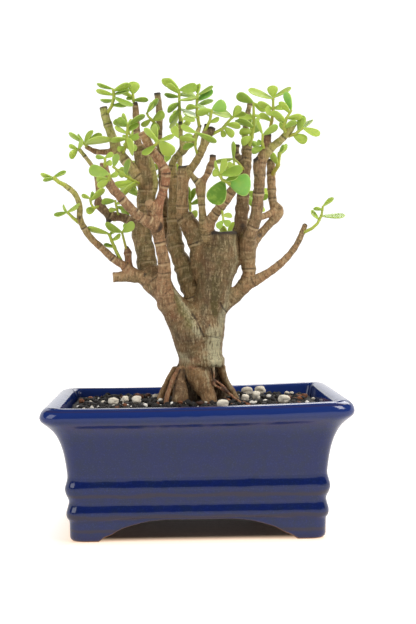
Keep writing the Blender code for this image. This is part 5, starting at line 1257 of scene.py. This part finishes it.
def wood_surface(branches, points, look, relief, wobble):
    """Distance out from the wood's skin at each point, and the marks that colour it."""
    count = len(points)
    sums = {False: np.zeros(count), True: np.zeros(count)}
    weight = np.full(count, 1e-12)
    first, second = np.full(count, 99.0), np.full(count, 99.0)
    marks = {name: np.zeros(count) for name in ("green", "red", "dark", "root")}
    nearest = {name: np.zeros(count) for name in ("groove", "lip", "node", "spot", "cut", "core",
                                                  "thick", "along")}
    for branch in branches:
        margin = branch.radii.max() + WOOD_REACH
        low, high = branch.places.min(0) - margin, branch.places.max(0) + margin
        near = np.nonzero(((points > low) & (points < high)).all(1))[0]
        skin, along, ring_marks, past, side = branch.reach(points[near], wobble[near])
        softness = look.root_join / MM if branch.root else look.limb_join / MM
        sums[branch.root][near] += np.exp(-np.clip(skin, -20, 40) / softness)
        part = np.exp(-np.clip(skin, -2.0, 40) / BLEND_REACH)
        if branch.root:
            part *= np.clip(COLLAR_LEDGE + 0.8 - points[near, 2], 0.0, 1.0)
        share = along / branch.along[-1]
        green = branch.tint[0] + (branch.tint[1] - branch.tint[0]) * share ** 1.5
        for name, value in (("green", green), ("red", branch.tint[2]), ("dark", branch.tint[3]),
                            ("root", float(branch.root))):
            marks[name][near] += part * value
        weight[near] += part
        closest = skin < first[near]
        second[near] = np.where(closest, first[near], np.minimum(second[near], skin))
        first[near] = np.minimum(first[near], skin)
        here = near[closest]
        for name, values in ring_marks.items():
            nearest[name][here] = (0.0 if branch.root else 1.0) * values[closest]
        nearest["along"][here] = along[closest]
        face = 1.0 / (1.0 + np.exp(-(past + 0.7) * 4)) if branch.cut else np.zeros(len(near))
        edge = np.interp(along, branch.along, branch.radii)
        inner = np.clip((edge * 0.8 - side) / (0.25 * edge), 0, 1)
        nearest["cut"][here] = face[closest]
        core = face * (0.2 * inner if branch.pale_cut else inner)
        dried = branch.weathered * np.exp(-np.clip(-past - DRIED_FROM, 0, 20) / DRIED_REACH)
        nearest["core"][here] = np.maximum(core, dried)[closest]
        nearest["thick"][here] = edge[closest]
    for name in marks:
        marks[name] /= weight
    skins = [-(look.root_join if root else look.limb_join) / MM * np.log(sums[root] + 1e-15)
             for root in (False, True)]
    skin = -ALL_JOIN * np.log(sum(np.exp(-np.clip(one, -9, 40) / ALL_JOIN) for one in skins))
    marks.update(nearest)
    low_enough = np.clip(COLLAR_LEDGE - 0.5 - points[:, 2], 0.0, 1.0)
    marks["crease"] = (np.exp(-np.clip(second - first, 0, 9) / CREASE_REACH)
                       * (marks["root"] > 0.3) * low_enough)
    girth = np.clip(marks["thick"] / 5, 0.3, 1)
    carved = look.groove_depth * marks["groove"] - look.node_height * marks["node"]
    skin = skin + carved / MM * girth
    return skin - relief * np.clip(marks["thick"] / 6, 0.25, 1.0), marks


def front_hit(tree, x, z):
    """Where the line of sight through this apparent place first meets the wood."""
    way = (Vector((x, 0.0, z)) - EYE).normalized()
    return tree.ray_cast(EYE, way)[0]


def far_from_line(points, tree, line):
    """How far each point is from a line drawn on the front of the wood."""
    hits = [front_hit(tree, x, z) for x, z in line]
    hits = [np.array(hit) for hit in hits if hit is not None]
    far = np.full(len(points), 99.0)
    for a, b in zip(hits, hits[1:]):
        share = np.clip((points - a) @ (b - a) / ((b - a) @ (b - a)), 0, 1)
        far = np.minimum(far, np.linalg.norm(points - a - share[:, None] * (b - a), axis=1))
    return far


def mesh_points(mesh):
    """Vertex places of a mesh, in listed millimetres."""
    flat = np.empty(len(mesh.vertices) * 3, np.float32)
    mesh.vertices.foreach_get("co", flat)
    return flat.reshape(-1, 3).astype(float) / MM - (STAND_X, 0.0, 0.0)


def set_points(mesh, points):
    mesh.vertices.foreach_set("co", stand(points).astype(np.float32).ravel())
    mesh.update()


def vertex_normals(mesh):
    flat = np.empty(len(mesh.vertices) * 3, np.float32)
    mesh.vertex_normals.foreach_get("vector", flat)
    return flat.reshape(-1, 3).astype(float)


def make_wood(look):
    """Roots, trunk, limbs and branches as one skin, with rings, cuts, creases and scars."""
    listed = {**LIMBS, **ROOTS, **BRANCHES}
    points, faces = [], []
    for item in listed.values():
        path = smooth_path(item, WOOD_STEP)
        join_shape(points, faces, tube_points(path, WOOD_SIDES), ring_faces(len(path), WOOD_SIDES))
    wood = new_piece("barked_wood", points, faces, bark_material(look), ["trunk"])
    remesh = wood.modifiers.new("skin", "REMESH")
    remesh.mode = "VOXEL"
    remesh.voxel_size = look.voxel
    apply_modifiers(wood)
    mesh = wood.data
    branches = [Branch(name, item, look) for name, item in listed.items()]
    points = mesh_points(mesh)
    # bark uneven over 9, 3.2 and 1.7 mm, and roots furrowed along their length
    uneven = (noise_at(points, 9.0, 0, 0.5) + 0.6 * noise_at(points, 3.2, 7, 0.6)
              + 0.4 * noise_at(points, 1.7, 3))
    furrows = 1.1 * noise_at(points, 3.0, 2, 0.15) + 0.5 * noise_at(points, 1.8, 5, 0.3)
    rootward = np.clip((116 - points[:, 2]) / 4, 0, 1)
    relief = look.bark_relief / MM * uneven + rootward * furrows
    wobble = 0.7 * noise_at(points, 9.0, 13)
    for _ in range(SETTLE_TIMES):
        skin, marks = wood_surface(branches, points, look, relief, wobble)
        move = np.clip(skin, -SETTLE_MOST, SETTLE_MOST)
        points -= vertex_normals(mesh) * move[:, None] * SETTLE_SHARE
        set_points(mesh, points)
    tree = find_tree(points, mesh)
    scar, dent = np.zeros(len(points)), np.zeros(len(points))
    for x, z, radius, depth in SCARS:
        hit = front_hit(tree, x, z)
        if hit is not None:
            share = np.exp(-(np.linalg.norm(points - tuple(hit), axis=1) / radius) ** 2)
            scar, dent = np.maximum(scar, share), dent + depth * share
    crease = np.zeros(len(points))
    for line, half, depth in CREASES:
        share = np.exp(-(far_from_line(points, tree, line) / half) ** 2)
        crease, dent = np.maximum(crease, share * min(1.0, 1.5 * depth)), dent + depth * share
    painted = {"bloom": np.zeros(len(points)), "moss": np.zeros(len(points)),
               "dark": marks["dark"], "red": marks["red"]}
    ragged = 1 + 0.5 * noise_at(points, 3.0, 21)
    for mark, strength, half, line in PATCHES:
        share = np.exp(-(far_from_line(points, tree, line) / (half * ragged)) ** 2)
        painted[mark] = np.maximum(painted[mark], strength * share)
    marks.update(painted)
    normals = vertex_normals(mesh)
    points -= normals * dent[:, None]
    set_points(mesh, points)
    patchy = np.clip(0.5 + 1.5 * noise_at(points, 7.0, 11), 0, 1)
    # ring grooves, drawn creases and creases where roots meet all take painted shade
    marks["groove"] = np.maximum(np.maximum(marks["groove"] * (0.5 + 0.5 * patchy), crease),
                                 marks["crease"])
    marks["lip"] *= 0.4 + 0.6 * patchy
    marks["scar"] = np.maximum(scar, marks["spot"])
    marks["old"] = np.clip((marks["thick"] - 3.5) / 4, 0, 1)
    # a thin grey-green bloom on the right of the lower trunk, also behind, strongest on faces that
    # turn right towards the key light: partly real bloom, partly painted light on that side
    marks["bloom"] = np.maximum(marks["bloom"], 0.35 * np.clip(0.6 + 0.6 * normals[:, 0], 0, 1)
                                * np.clip((160 - points[:, 2]) / 20, 0, 1) * (1 - marks["root"]))
    set_marks(mesh, {mark: marks[mark] for mark in BARK_MARKS})
    mesh.shade_smooth()


# Leaves

def blade(base, way, fold, thick):
    """One fleshy leaf: rounded outline, plump below, edges turned up a little."""
    ahead, across, up, length, width = way
    points, edge, foot = [], [], []
    for i in range(LEAF_ROWS):
        t = 0.5 - 0.5 * math.cos(math.pi * i / (LEAF_ROWS - 1))
        wide = max(t ** 0.65 * math.sqrt(max(1 - t ** 3.5, 0.0)) / 0.67, 0.16 * (1 - t))
        half = 0.5 * width * max(wide, 0.02)
        middle = base + ahead * (t * length) + up * (LEAF_CURL * length * t * t)
        body = thick * (LEAF_EDGE + (1 - LEAF_EDGE) * wide) * min(1.0, 5 * (1 - t) + 0.12)
        for k in range(LEAF_SIDES):
            angle = 2 * math.pi * k / LEAF_SIDES
            u, v = math.cos(angle), math.sin(angle)
            lift = fold * width * u * u * wide + body * (0.22 * v if v > 0 else 0.7 * v)
            points.append(middle + across * (u * half) + up * lift)
            edge.append(abs(u) ** 3 if i else 0.0)
            foot.append(max(0.0, 1 - t / LEAF_FOOT))
    return points, ring_faces(LEAF_ROWS, LEAF_SIDES), edge, foot


def chosen_way(base, tip, width, draw, on_node):
    """The blade's frame that the CAD took: the first lean whose tip lies on the CAD's leaf."""
    for lean in LEAN_STEPS:
        way = leaf_frame(base, tip + Vector((0, lean, 0)), width, random.Random(draw.random()))
        ahead, _, up, length, _ = way
        end = base + ahead * length + up * LEAF_CURL * length
        if on_node.find_nearest(end)[3] < ON_LEAF:
            return way
    return None


def make_shoots(look):
    """Green stems with their leaves, one piece for each CAD shoot."""
    material = leaf_material(look)
    missed = 0
    for number, (name, path, listed) in enumerate([*front_shoots(), *back_shoots()]):
        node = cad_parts[name].data
        on_node = find_tree(mesh_points(node), node)
        draw, tones = random.Random(number), random.Random(name)
        fine = []
        joints = sorted({(along_stem(path, 1.0) - base).length for base, _, _ in listed})
        for k in range(STEM_RINGS):
            share = k / (STEM_RINGS - 1)
            place = along_stem(path, share)
            to_end = (along_stem(path, 1.0) - place).length
            knob = sum(math.exp(-((to_end - joint) / JOINT_REACH) ** 2) for joint in joints)
            radius = path[0][1] + (path[-1][1] - path[0][1]) * share
            fine.append((place, radius * (0.86 + 0.22 * min(knob, 1.0))))
        points = tube_points(fine, STEM_SIDES)
        faces = ring_faces(STEM_RINGS, STEM_SIDES)
        shoot_red = STEM_RED.get(name, tones.uniform(0.0, 0.35))
        marks = {mark: [value] * len(points) for mark, value in zip(LEAF_MARKS, STEM_MARKS)}
        marks["red"] = [shoot_red * (1 - i / len(points)) for i in range(len(points))]
        for turn, (base, tip, width) in enumerate(listed):
            way = chosen_way(base, tip, width, draw, on_node)
            tone = LEAF_TONES.get((name, turn), 0.05 + 0.65 * tones.random() ** 1.2)
            cool = LEAF_COOL.get((name, turn), 0.0)
            if way is None:
                missed += 1
                continue
            fold = tones.uniform(0.02, 0.1)
            more, sides, edge, foot = blade(base, way, fold, look.thickness / MM)
            join_shape(points, faces, more, sides)
            count = len(more)
            for mark, values in zip(LEAF_MARKS, ([tone] * count, [cool] * count, edge, foot,
                                                 [0.0] * count, [0.0] * count)):
                marks[mark] += values
        new_piece(name + "_leaves", points, faces, material, [name], marks)
    print("leaves left out as in the CAD:", missed)


# Soil dressing and drainage mesh

def make_dressing(look):
    """Everything loose on the soil: lava, bark chips, fine pumice and the larger stones."""
    # the lava's pale spots are painted glints
    lava = grit_material("crushed_black_lava", look.lava, look.peat, look.painted_glint, 1.6, 0.75, 0.22)
    chips = grit_material("composted_pine_bark", look.chip, look.chip_dark, look.peat, 2.0, 0.8)
    pumice = grit_material("sieved_white_pumice", look.pumice, look.pumice_warm, look.pumice_pit,
                           1.4, 0.9)
    trunk = [(3.5, 5.0, 17.0)]
    stones = list(pumice_places().values())
    draw = random.Random(GRIT_SEED)
    coarse = []
    places = []
    while len(places) < GRIT_COUNT:
        half = draw.uniform(*GRIT_HALF)
        x, y = (draw.uniform(-reach, reach) for reach in GRIT_AREA)
        turn = draw.uniform(0, math.pi)
        apart = all(math.hypot(x - a, y - b) > GRIT_CROWD * (half + other)
                    for a, b, other in places)
        clear = all(math.hypot(x - a, y - b) > half + other + GRIT_FROM_PUMICE
                    for a, b, other in stones)
        if apart and clear and math.hypot(x - 5, (y - 5) * 0.9) > GRIT_FROM_TRUNK:
            places.append((x, y, half))
            coarse.append(((x, y, soil_height(x, y) + GRIT_OUT * half),
                           (half, half * STONE_BROAD, half * STONE_FLAT), turn))
    kinds = {"lava": [], "chip": [], "pumice": []}
    for kind, (x, y, half) in listed_bits():
        kinds[kind].append(((x, y, soil_height(x, y) + BIT_OUT * half),
                            (half, half * STONE_BROAD, half * BIT_FLAT), 1.3 * x))
    taken = stones + [(c[0], c[1], s[0]) for group in kinds.values() for c, s, _ in group]
    grains("lava_coarse", coarse, lava, 3, 0.45)
    grains("lava_grit", strewn(3, 900, 0.7, 2.6, trunk + stones) + kinds["lava"],
           lava, 2, 0.6)
    grains("bark_chips", strewn(5, 90, 0.8, 2.8, trunk + taken) + kinds["chip"],
           chips, 2, 0.55)
    grains("pumice_grit", strewn(9, 70, 0.6, 1.9, trunk + taken) + kinds["pumice"],
           pumice, 3, 0.28)
    for number, (name, (x, y, half)) in enumerate(pumice_places().items()):
        place = ((x, y, soil_height(x, y) + STONE_LIFT + half * STONE_FLAT),
                 (half, half * STONE_BROAD, half * STONE_HIGH), 0.7 * number)
        grains(name + "_stone", [place], pumice, 4, 0.24, [name])


def make_mesh_screens(look):
    """Drainage mesh: moulded black polypropylene, dull, with a fine moulding grain."""
    made, tree, shader = new_material("moulded_polypropylene_mesh", IOR=1.49, Roughness=0.5)
    where = add(tree, "TexCoord").outputs["Object"]
    grain = add(tree, "TexNoise", {"Vector": where, "Scale": per_mm(0.6), "Detail": 2.0}).outputs[0]
    colour = washes(tree, look.screen, (grain, 0.35, 0.7, look.screen_worn, 0.6))
    bump = add(tree, "Bump", {"Height": grain, "Strength": 0.3, "Distance": 0.1 * MM})
    connect(tree, shader, Base_Color=colour, Normal=bump.outputs[0])
    for name in ("drain_mesh_left", "drain_mesh_right"):
        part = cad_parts[name].data
        part.materials.clear()
        part.materials.append(made)


# Stage, in metres

FLOOR_HALF = 6.0
# Half width and half depth of the painted shadow under the pot, from where the floor's painted
# glow starts to come in
PAINTED_SHADOW = (0.070, 0.044)
# Soft lights: where each stands, what it is aimed at, its size and its tint
LIGHTS = {
    "key": ((0.75, -0.55, 1.15), (0, 0, 0.15), (0.7, 0.7), (1.0, 0.985, 0.96)),
    "back": ((0.45, 0.9, 0.95), (0, 0, 0.2), (0.9, 0.6), (1.0, 0.99, 0.97)),
    "fill": ((-0.95, -0.5, 0.8), (0, 0, 0.15), (0.8, 0.8), (0.97, 0.985, 1.0)),
}


def light(name, power, place, aim, size, tint):
    lamp = bpy.data.lights.new(name, "AREA")
    lamp.shape = "RECTANGLE"
    lamp.size, lamp.size_y = size
    lamp.energy = power
    lamp.color = tint
    made = bpy.data.objects.new(name, lamp)
    made.location = place
    made.rotation_euler = (Vector(aim) - Vector(place)).to_track_quat("-Z", "Y").to_euler()
    bpy.context.scene.collection.objects.link(made)


def make_stage(look):
    """A floor that glows as painted light, with a painted shadow under the pot, soft studio light
    and the camera.
    """
    scene = bpy.context.scene
    mesh = bpy.data.meshes.new("floor")
    mesh.from_pydata([(x * FLOOR_HALF, y * FLOOR_HALF, 0)
                      for x, y in ((-1, -1), (1, -1), (1, 1), (-1, 1))], [], [(0, 1, 2, 3)])
    floor = bpy.data.objects.new("floor", mesh)
    scene.collection.objects.link(floor)
    made, tree, shader = new_material("backlit_white_acrylic", Roughness=0.7, IOR=1.4)
    where = add(tree, "TexCoord").outputs["Object"]
    # the floor glows all round the pot as painted light, though it is no lamp, and the glow dims
    # under the pot as a painted shadow over the last 16 mm inside its feet
    across, deep, _ = add(tree, "SeparateXYZ", {0: where}).outputs
    past = [add(tree, "Math", {0: add(tree, "Math", {0: way}, operation="ABSOLUTE").outputs[0],
                               1: edge}, operation="SUBTRACT").outputs[0]
            for way, edge in zip((across, deep), PAINTED_SHADOW)]
    beyond = add(tree, "Math", {0: past[0], 1: past[1]}, operation="MAXIMUM").outputs[0]
    glow = add(tree, "MapRange", {0: beyond, 1: 0.0, 2: look.painted_shadow_reach, 4: look.glow},
               interpolation_type="SMOOTHSTEP").outputs[0]
    # next to the pot the glow turns warm: a painted warm edge to that painted shadow
    tint = washes(tree, look.painted_shadow_edge, (beyond, 0.0, 2.5 * look.painted_shadow_reach, look.air, 1.0))
    tooth = add(tree, "TexNoise", {"Vector": where, "Scale": per_mm(3.0), "Detail": 2.0}).outputs[0]
    colour = washes(tree, look.floor, (tooth, 0.3, 0.7, look.floor_tooth, 1.0))
    connect(tree, shader, Base_Color=colour, Emission_Color=tint, Emission_Strength=glow)
    mesh.materials.append(made)

    world = bpy.data.worlds.new("studio")
    scene.world = world
    world.use_nodes = True
    tree = world.node_tree
    way = add(tree, "TexCoord").outputs["Generated"]
    _, back, up = add(tree, "SeparateXYZ", {0: way}).outputs
    # the bright wall reaches higher behind the pot, which lights its rim from there
    back = add(tree, "Math", {0: back, 1: 0.0}, operation="MAXIMUM").outputs[0]
    level = add(tree, "Math", {0: back, 1: -0.4, 2: up}, operation="MULTIPLY_ADD").outputs[0]
    glow = add(tree, "MapRange", {0: level, 1: 0.18, 2: 0.24, 3: look.horizon, 4: look.ceiling},
               interpolation_type="SMOOTHSTEP").outputs[0]
    tree.nodes["Background"].inputs["Color"].default_value = (*look.air, 1.0)
    tree.links.new(glow, tree.nodes["Background"].inputs["Strength"])

    for name, setting in LIGHTS.items():
        light(name, getattr(look, name), *setting)

    camera = bpy.data.cameras.new("camera")
    camera.lens = look.lens
    camera.sensor_width = 36.0
    camera.sensor_fit = "AUTO"
    camera.clip_start = 0.05
    camera.clip_end = 50.0
    stand_in = bpy.data.objects.new("camera", camera)
    aside, tip, roll = (math.radians(angle) for angle in CAMERA_TURN)
    turn = (Matrix.Rotation(aside, 4, "Z") @ Matrix.Rotation(math.pi / 2 + tip, 4, "X")
            @ Matrix.Rotation(roll, 4, "Z"))
    at = (CAMERA_AT + Vector((STAND_X, 0, 0))) * MM
    stand_in.matrix_world = Matrix.Translation(at) @ turn
    scene.collection.objects.link(stand_in)
    scene.camera = stand_in
    scene.view_settings.view_transform = "Standard"
    scene.view_settings.exposure = look.exposure


# The add-on

def colour(code, name, description):
    return bpy.props.FloatVectorProperty(name=name, description=description, subtype="COLOR",
                                         size=3, min=0.0, max=1.0, default=linear(code))


def length(value, name, description):
    return bpy.props.FloatProperty(name=name, description=description, default=value * MM,
                                   min=0.0, subtype="DISTANCE", unit="LENGTH", precision=5)


def amount(value, name, description, top=10.0):
    return bpy.props.FloatProperty(name=name, description=description, default=value,
                                   min=-top, max=top)


class PotLook(bpy.types.PropertyGroup):
    """Colours of the glazed pot."""
    cobalt: colour("#0e1c50", "Cobalt", "Glaze where it pools")
    body: colour("#121f46", "Body", "Glaze on the walls")
    rim: colour("#1c316f", "Rim", "Brighter blue where the glaze lies thick on the rim")
    speck: colour("#2a3a7e", "Speckle", "Fine specks in the glaze")
    thin: colour("#2c2430", "Thin glaze", "Wavy brown bands where the glaze runs thin")
    edge: colour("#3a2a30", "Edge", "Clay showing through on lips and edges")
    clay: colour("#6b4a35", "Clay", "Bare fired clay under the feet")


class WoodLook(bpy.types.PropertyGroup):
    """Sizes and colours of the wood."""
    voxel: length(0.85, "Skin step", "Size of the faces of the wood's skin")
    step: length(1.8, "Path step", "Spacing of the points that limbs are measured from")
    ring_spacing: length(7.6, "Ring spacing", "Distance between yearly rings on a limb")
    groove_depth: length(0.22, "Ring depth", "How deep the rings are cut")
    node_height: length(0.5, "Node height", "How far the leaf scars on a ring stand out")
    bark_relief: length(0.45, "Bark relief", "Unevenness of the bark")
    limb_join: length(1.4, "Limb join", "Softness of the join between limbs")
    root_join: length(0.5, "Root join", "Softness of the join between roots")
    old: colour("#7d5f3b", "Old bark", "Bark of the trunk and thick limbs")
    old_olive: colour("#665a36", "Old olive bark", "Blotches in the bark of thick limbs")
    tan: colour("#a6835a", "Tan bark", "Most of the younger bark")
    olive: colour("#82704a", "Olive bark", "Blotches in the younger bark")
    pale: colour("#c4ae84", "Pale bark", "Flecks and ring edges")
    red: colour("#8c5238", "Red bark", "Young reddish bark")
    # also painted shade, on limbs in shadow and in hollows
    dark: colour("#382a1a", "Dark bark", "Older, darker bark")
    green: colour("#a3a84a", "Green bark", "Growing ends")
    fleck: colour("#4a3820", "Dark flecks", "Fine dark flecks in all bark")
    moss: colour("#575019", "Moss", "Olive film on shaded bark")
    # grey-green bloom, which on the right of the lower trunk is partly painted light
    bloom: colour("#b2ad8a", "Bloom", "Grey-green bloom on the trunk")
    root: colour("#8a6640", "Roots", "Bark of the bared roots")
    # colour of the painted shade in ring grooves, creases and wrinkle lines
    groove: colour("#2e2116", "Grooves", "Ring grooves and creases")
    cut: colour("#a88864", "Cut", "Rim of a pruning cut")
    core: colour("#2e2620", "Cut core", "Middle of a pruning cut, and scars")


class LeafLook(bpy.types.PropertyGroup):
    """Sizes and colours of the leaves and green stems."""
    thickness: length(1.7, "Leaf thickness", "Thickness of a leaf at its broadest")
    light: colour("#a5ba50", "Light leaf", "Young leaves")
    mid: colour("#8aa545", "Middle leaf", "Grown leaves")
    deep: colour("#567a24", "Deep leaf", "Oldest leaves")
    cool: colour("#7cb556", "Cool leaf", "Bluer green of a few grown leaves")
    rim: colour("#c2d47c", "Leaf rim", "Thin edges that let light through")
    stem: colour("#a5b04c", "Green stem", "Young stems")
    stem_red: colour("#a06a3c", "Red stem", "Reddish young stems")


class SoilLook(bpy.types.PropertyGroup):
    """Colours of the soil and what lies on it."""
    peat: colour("#120f0d", "Peat", "Damp dark mix")
    lava: colour("#171413", "Lava", "Crushed black lava")
    # pale specks in the soil and the lava: painted glints
    painted_glint: colour("#6a6058", "Glint", "Pale specks in the dark mix")
    chip: colour("#8a5230", "Bark chip", "Composted bark")
    chip_dark: colour("#4a2c1c", "Dark bark chip", "Darker composted bark")
    pumice: colour("#f4f0e8", "Pumice", "White pumice")
    pumice_warm: colour("#dfd6c4", "Warm pumice", "Stained pumice")
    pumice_pit: colour("#b3a68e", "Pumice pits", "Pits in the pumice")
    screen: colour("#141414", "Mesh", "Drainage mesh")
    screen_worn: colour("#2a2a2a", "Worn mesh", "Dusty drainage mesh")


class StageLook(bpy.types.PropertyGroup):
    """Floor, lights and camera."""
    # grey base of the floor; the floor's painted glow, not a light under it, makes it white
    floor: colour("#b3a9a2", "Floor", "Opal acrylic sheet, where it isn't lit from below")
    floor_tooth: colour("#aaa099", "Floor tooth", "Fine unevenness of the sheet")
    air: colour("#ffffff", "Air", "Colour of the light from the room")
    # painted glow of the floor, reach of the painted shadow under the pot, and that shadow's warm
    # painted edge
    glow: amount(0.9, "Floor glow", "Brightness of the lit sheet round the pot")
    painted_shadow_reach: length(16, "Glow reach", "Distance over which the glow comes in")
    painted_shadow_edge: colour("#ffd9b4", "Glow edge", "Colour of the glow next to the pot")
    horizon: amount(1.15, "Horizon", "Brightness of the room at eye level")
    ceiling: amount(0.05, "Ceiling", "Brightness of the room overhead")
    key: amount(16.0, "Key light", "Power of the soft light at the right, in watts", 200.0)
    back: amount(9.0, "Back light", "Power of the light behind, in watts", 200.0)
    fill: amount(7.0, "Fill light", "Power of the light at the left, in watts", 200.0)
    lens: amount(64.29, "Lens", "Focal length in millimetres", 300.0)
    exposure: amount(0.0, "Exposure", "Brightness of the picture, in stops")


class BONSAI_OT_pot(bpy.types.Operator):
    """Make the glazed pot and the mesh over its drainage holes"""
    bl_idname = "bonsai.pot"
    bl_label = "Glazed Pot"

    def execute(self, context):
        make_pot(context.scene.bonsai_pot)
        make_mesh_screens(context.scene.bonsai_soil)
        return {"FINISHED"}


class BONSAI_OT_soil(bpy.types.Operator):
    """Make the soil, its grains and the stones that lie on it"""
    bl_idname = "bonsai.soil"
    bl_label = "Soil and Stones"

    def execute(self, context):
        make_soil(context.scene.bonsai_soil)
        make_dressing(context.scene.bonsai_soil)
        return {"FINISHED"}


class BONSAI_OT_wood(bpy.types.Operator):
    """Make the roots, trunk and branches"""
    bl_idname = "bonsai.wood"
    bl_label = "Wood"

    def execute(self, context):
        make_wood(context.scene.bonsai_wood)
        return {"FINISHED"}


class BONSAI_OT_shoots(bpy.types.Operator):
    """Make the green stems and their leaves"""
    bl_idname = "bonsai.shoots"
    bl_label = "Leafy Shoots"

    def execute(self, context):
        make_shoots(context.scene.bonsai_leaf)
        return {"FINISHED"}


class BONSAI_OT_stage(bpy.types.Operator):
    """Make the floor, the lights and the camera"""
    bl_idname = "bonsai.stage"
    bl_label = "Stage"

    def execute(self, context):
        make_stage(context.scene.bonsai_stage)
        return {"FINISHED"}


OPERATORS = (BONSAI_OT_pot, BONSAI_OT_soil, BONSAI_OT_wood, BONSAI_OT_shoots, BONSAI_OT_stage)
LOOKS = {"bonsai_pot": PotLook, "bonsai_soil": SoilLook, "bonsai_wood": WoodLook,
         "bonsai_leaf": LeafLook, "bonsai_stage": StageLook}


class BONSAI_PT_panel(bpy.types.Panel):
    """Buttons that make each part of the bonsai"""
    bl_label = "Bonsai"
    bl_idname = "BONSAI_PT_panel"
    bl_space_type = "VIEW_3D"
    bl_region_type = "UI"
    bl_category = "Bonsai"

    def draw(self, context):
        for made, settings in zip(OPERATORS, LOOKS):
            box = self.layout.box()
            box.operator(made.bl_idname)
            look = getattr(context.scene, settings)
            for name in look.__annotations__:
                box.prop(look, name)


def register():
    for item in (*LOOKS.values(), *OPERATORS, BONSAI_PT_panel):
        bpy.utils.register_class(item)
    for name, look in LOOKS.items():
        setattr(bpy.types.Scene, name, bpy.props.PointerProperty(type=look))


def unregister():
    for name in LOOKS:
        delattr(bpy.types.Scene, name)
    for item in (BONSAI_PT_panel, *reversed(OPERATORS), *LOOKS.values()):
        bpy.utils.unregister_class(item)


def main():
    register()
    bpy.ops.bonsai.pot()
    bpy.ops.bonsai.soil()
    bpy.ops.bonsai.wood()
    bpy.ops.bonsai.shoots()
    bpy.ops.bonsai.stage()
    bpy.context.view_layer.update()


if __name__ == "__main__":
    main()
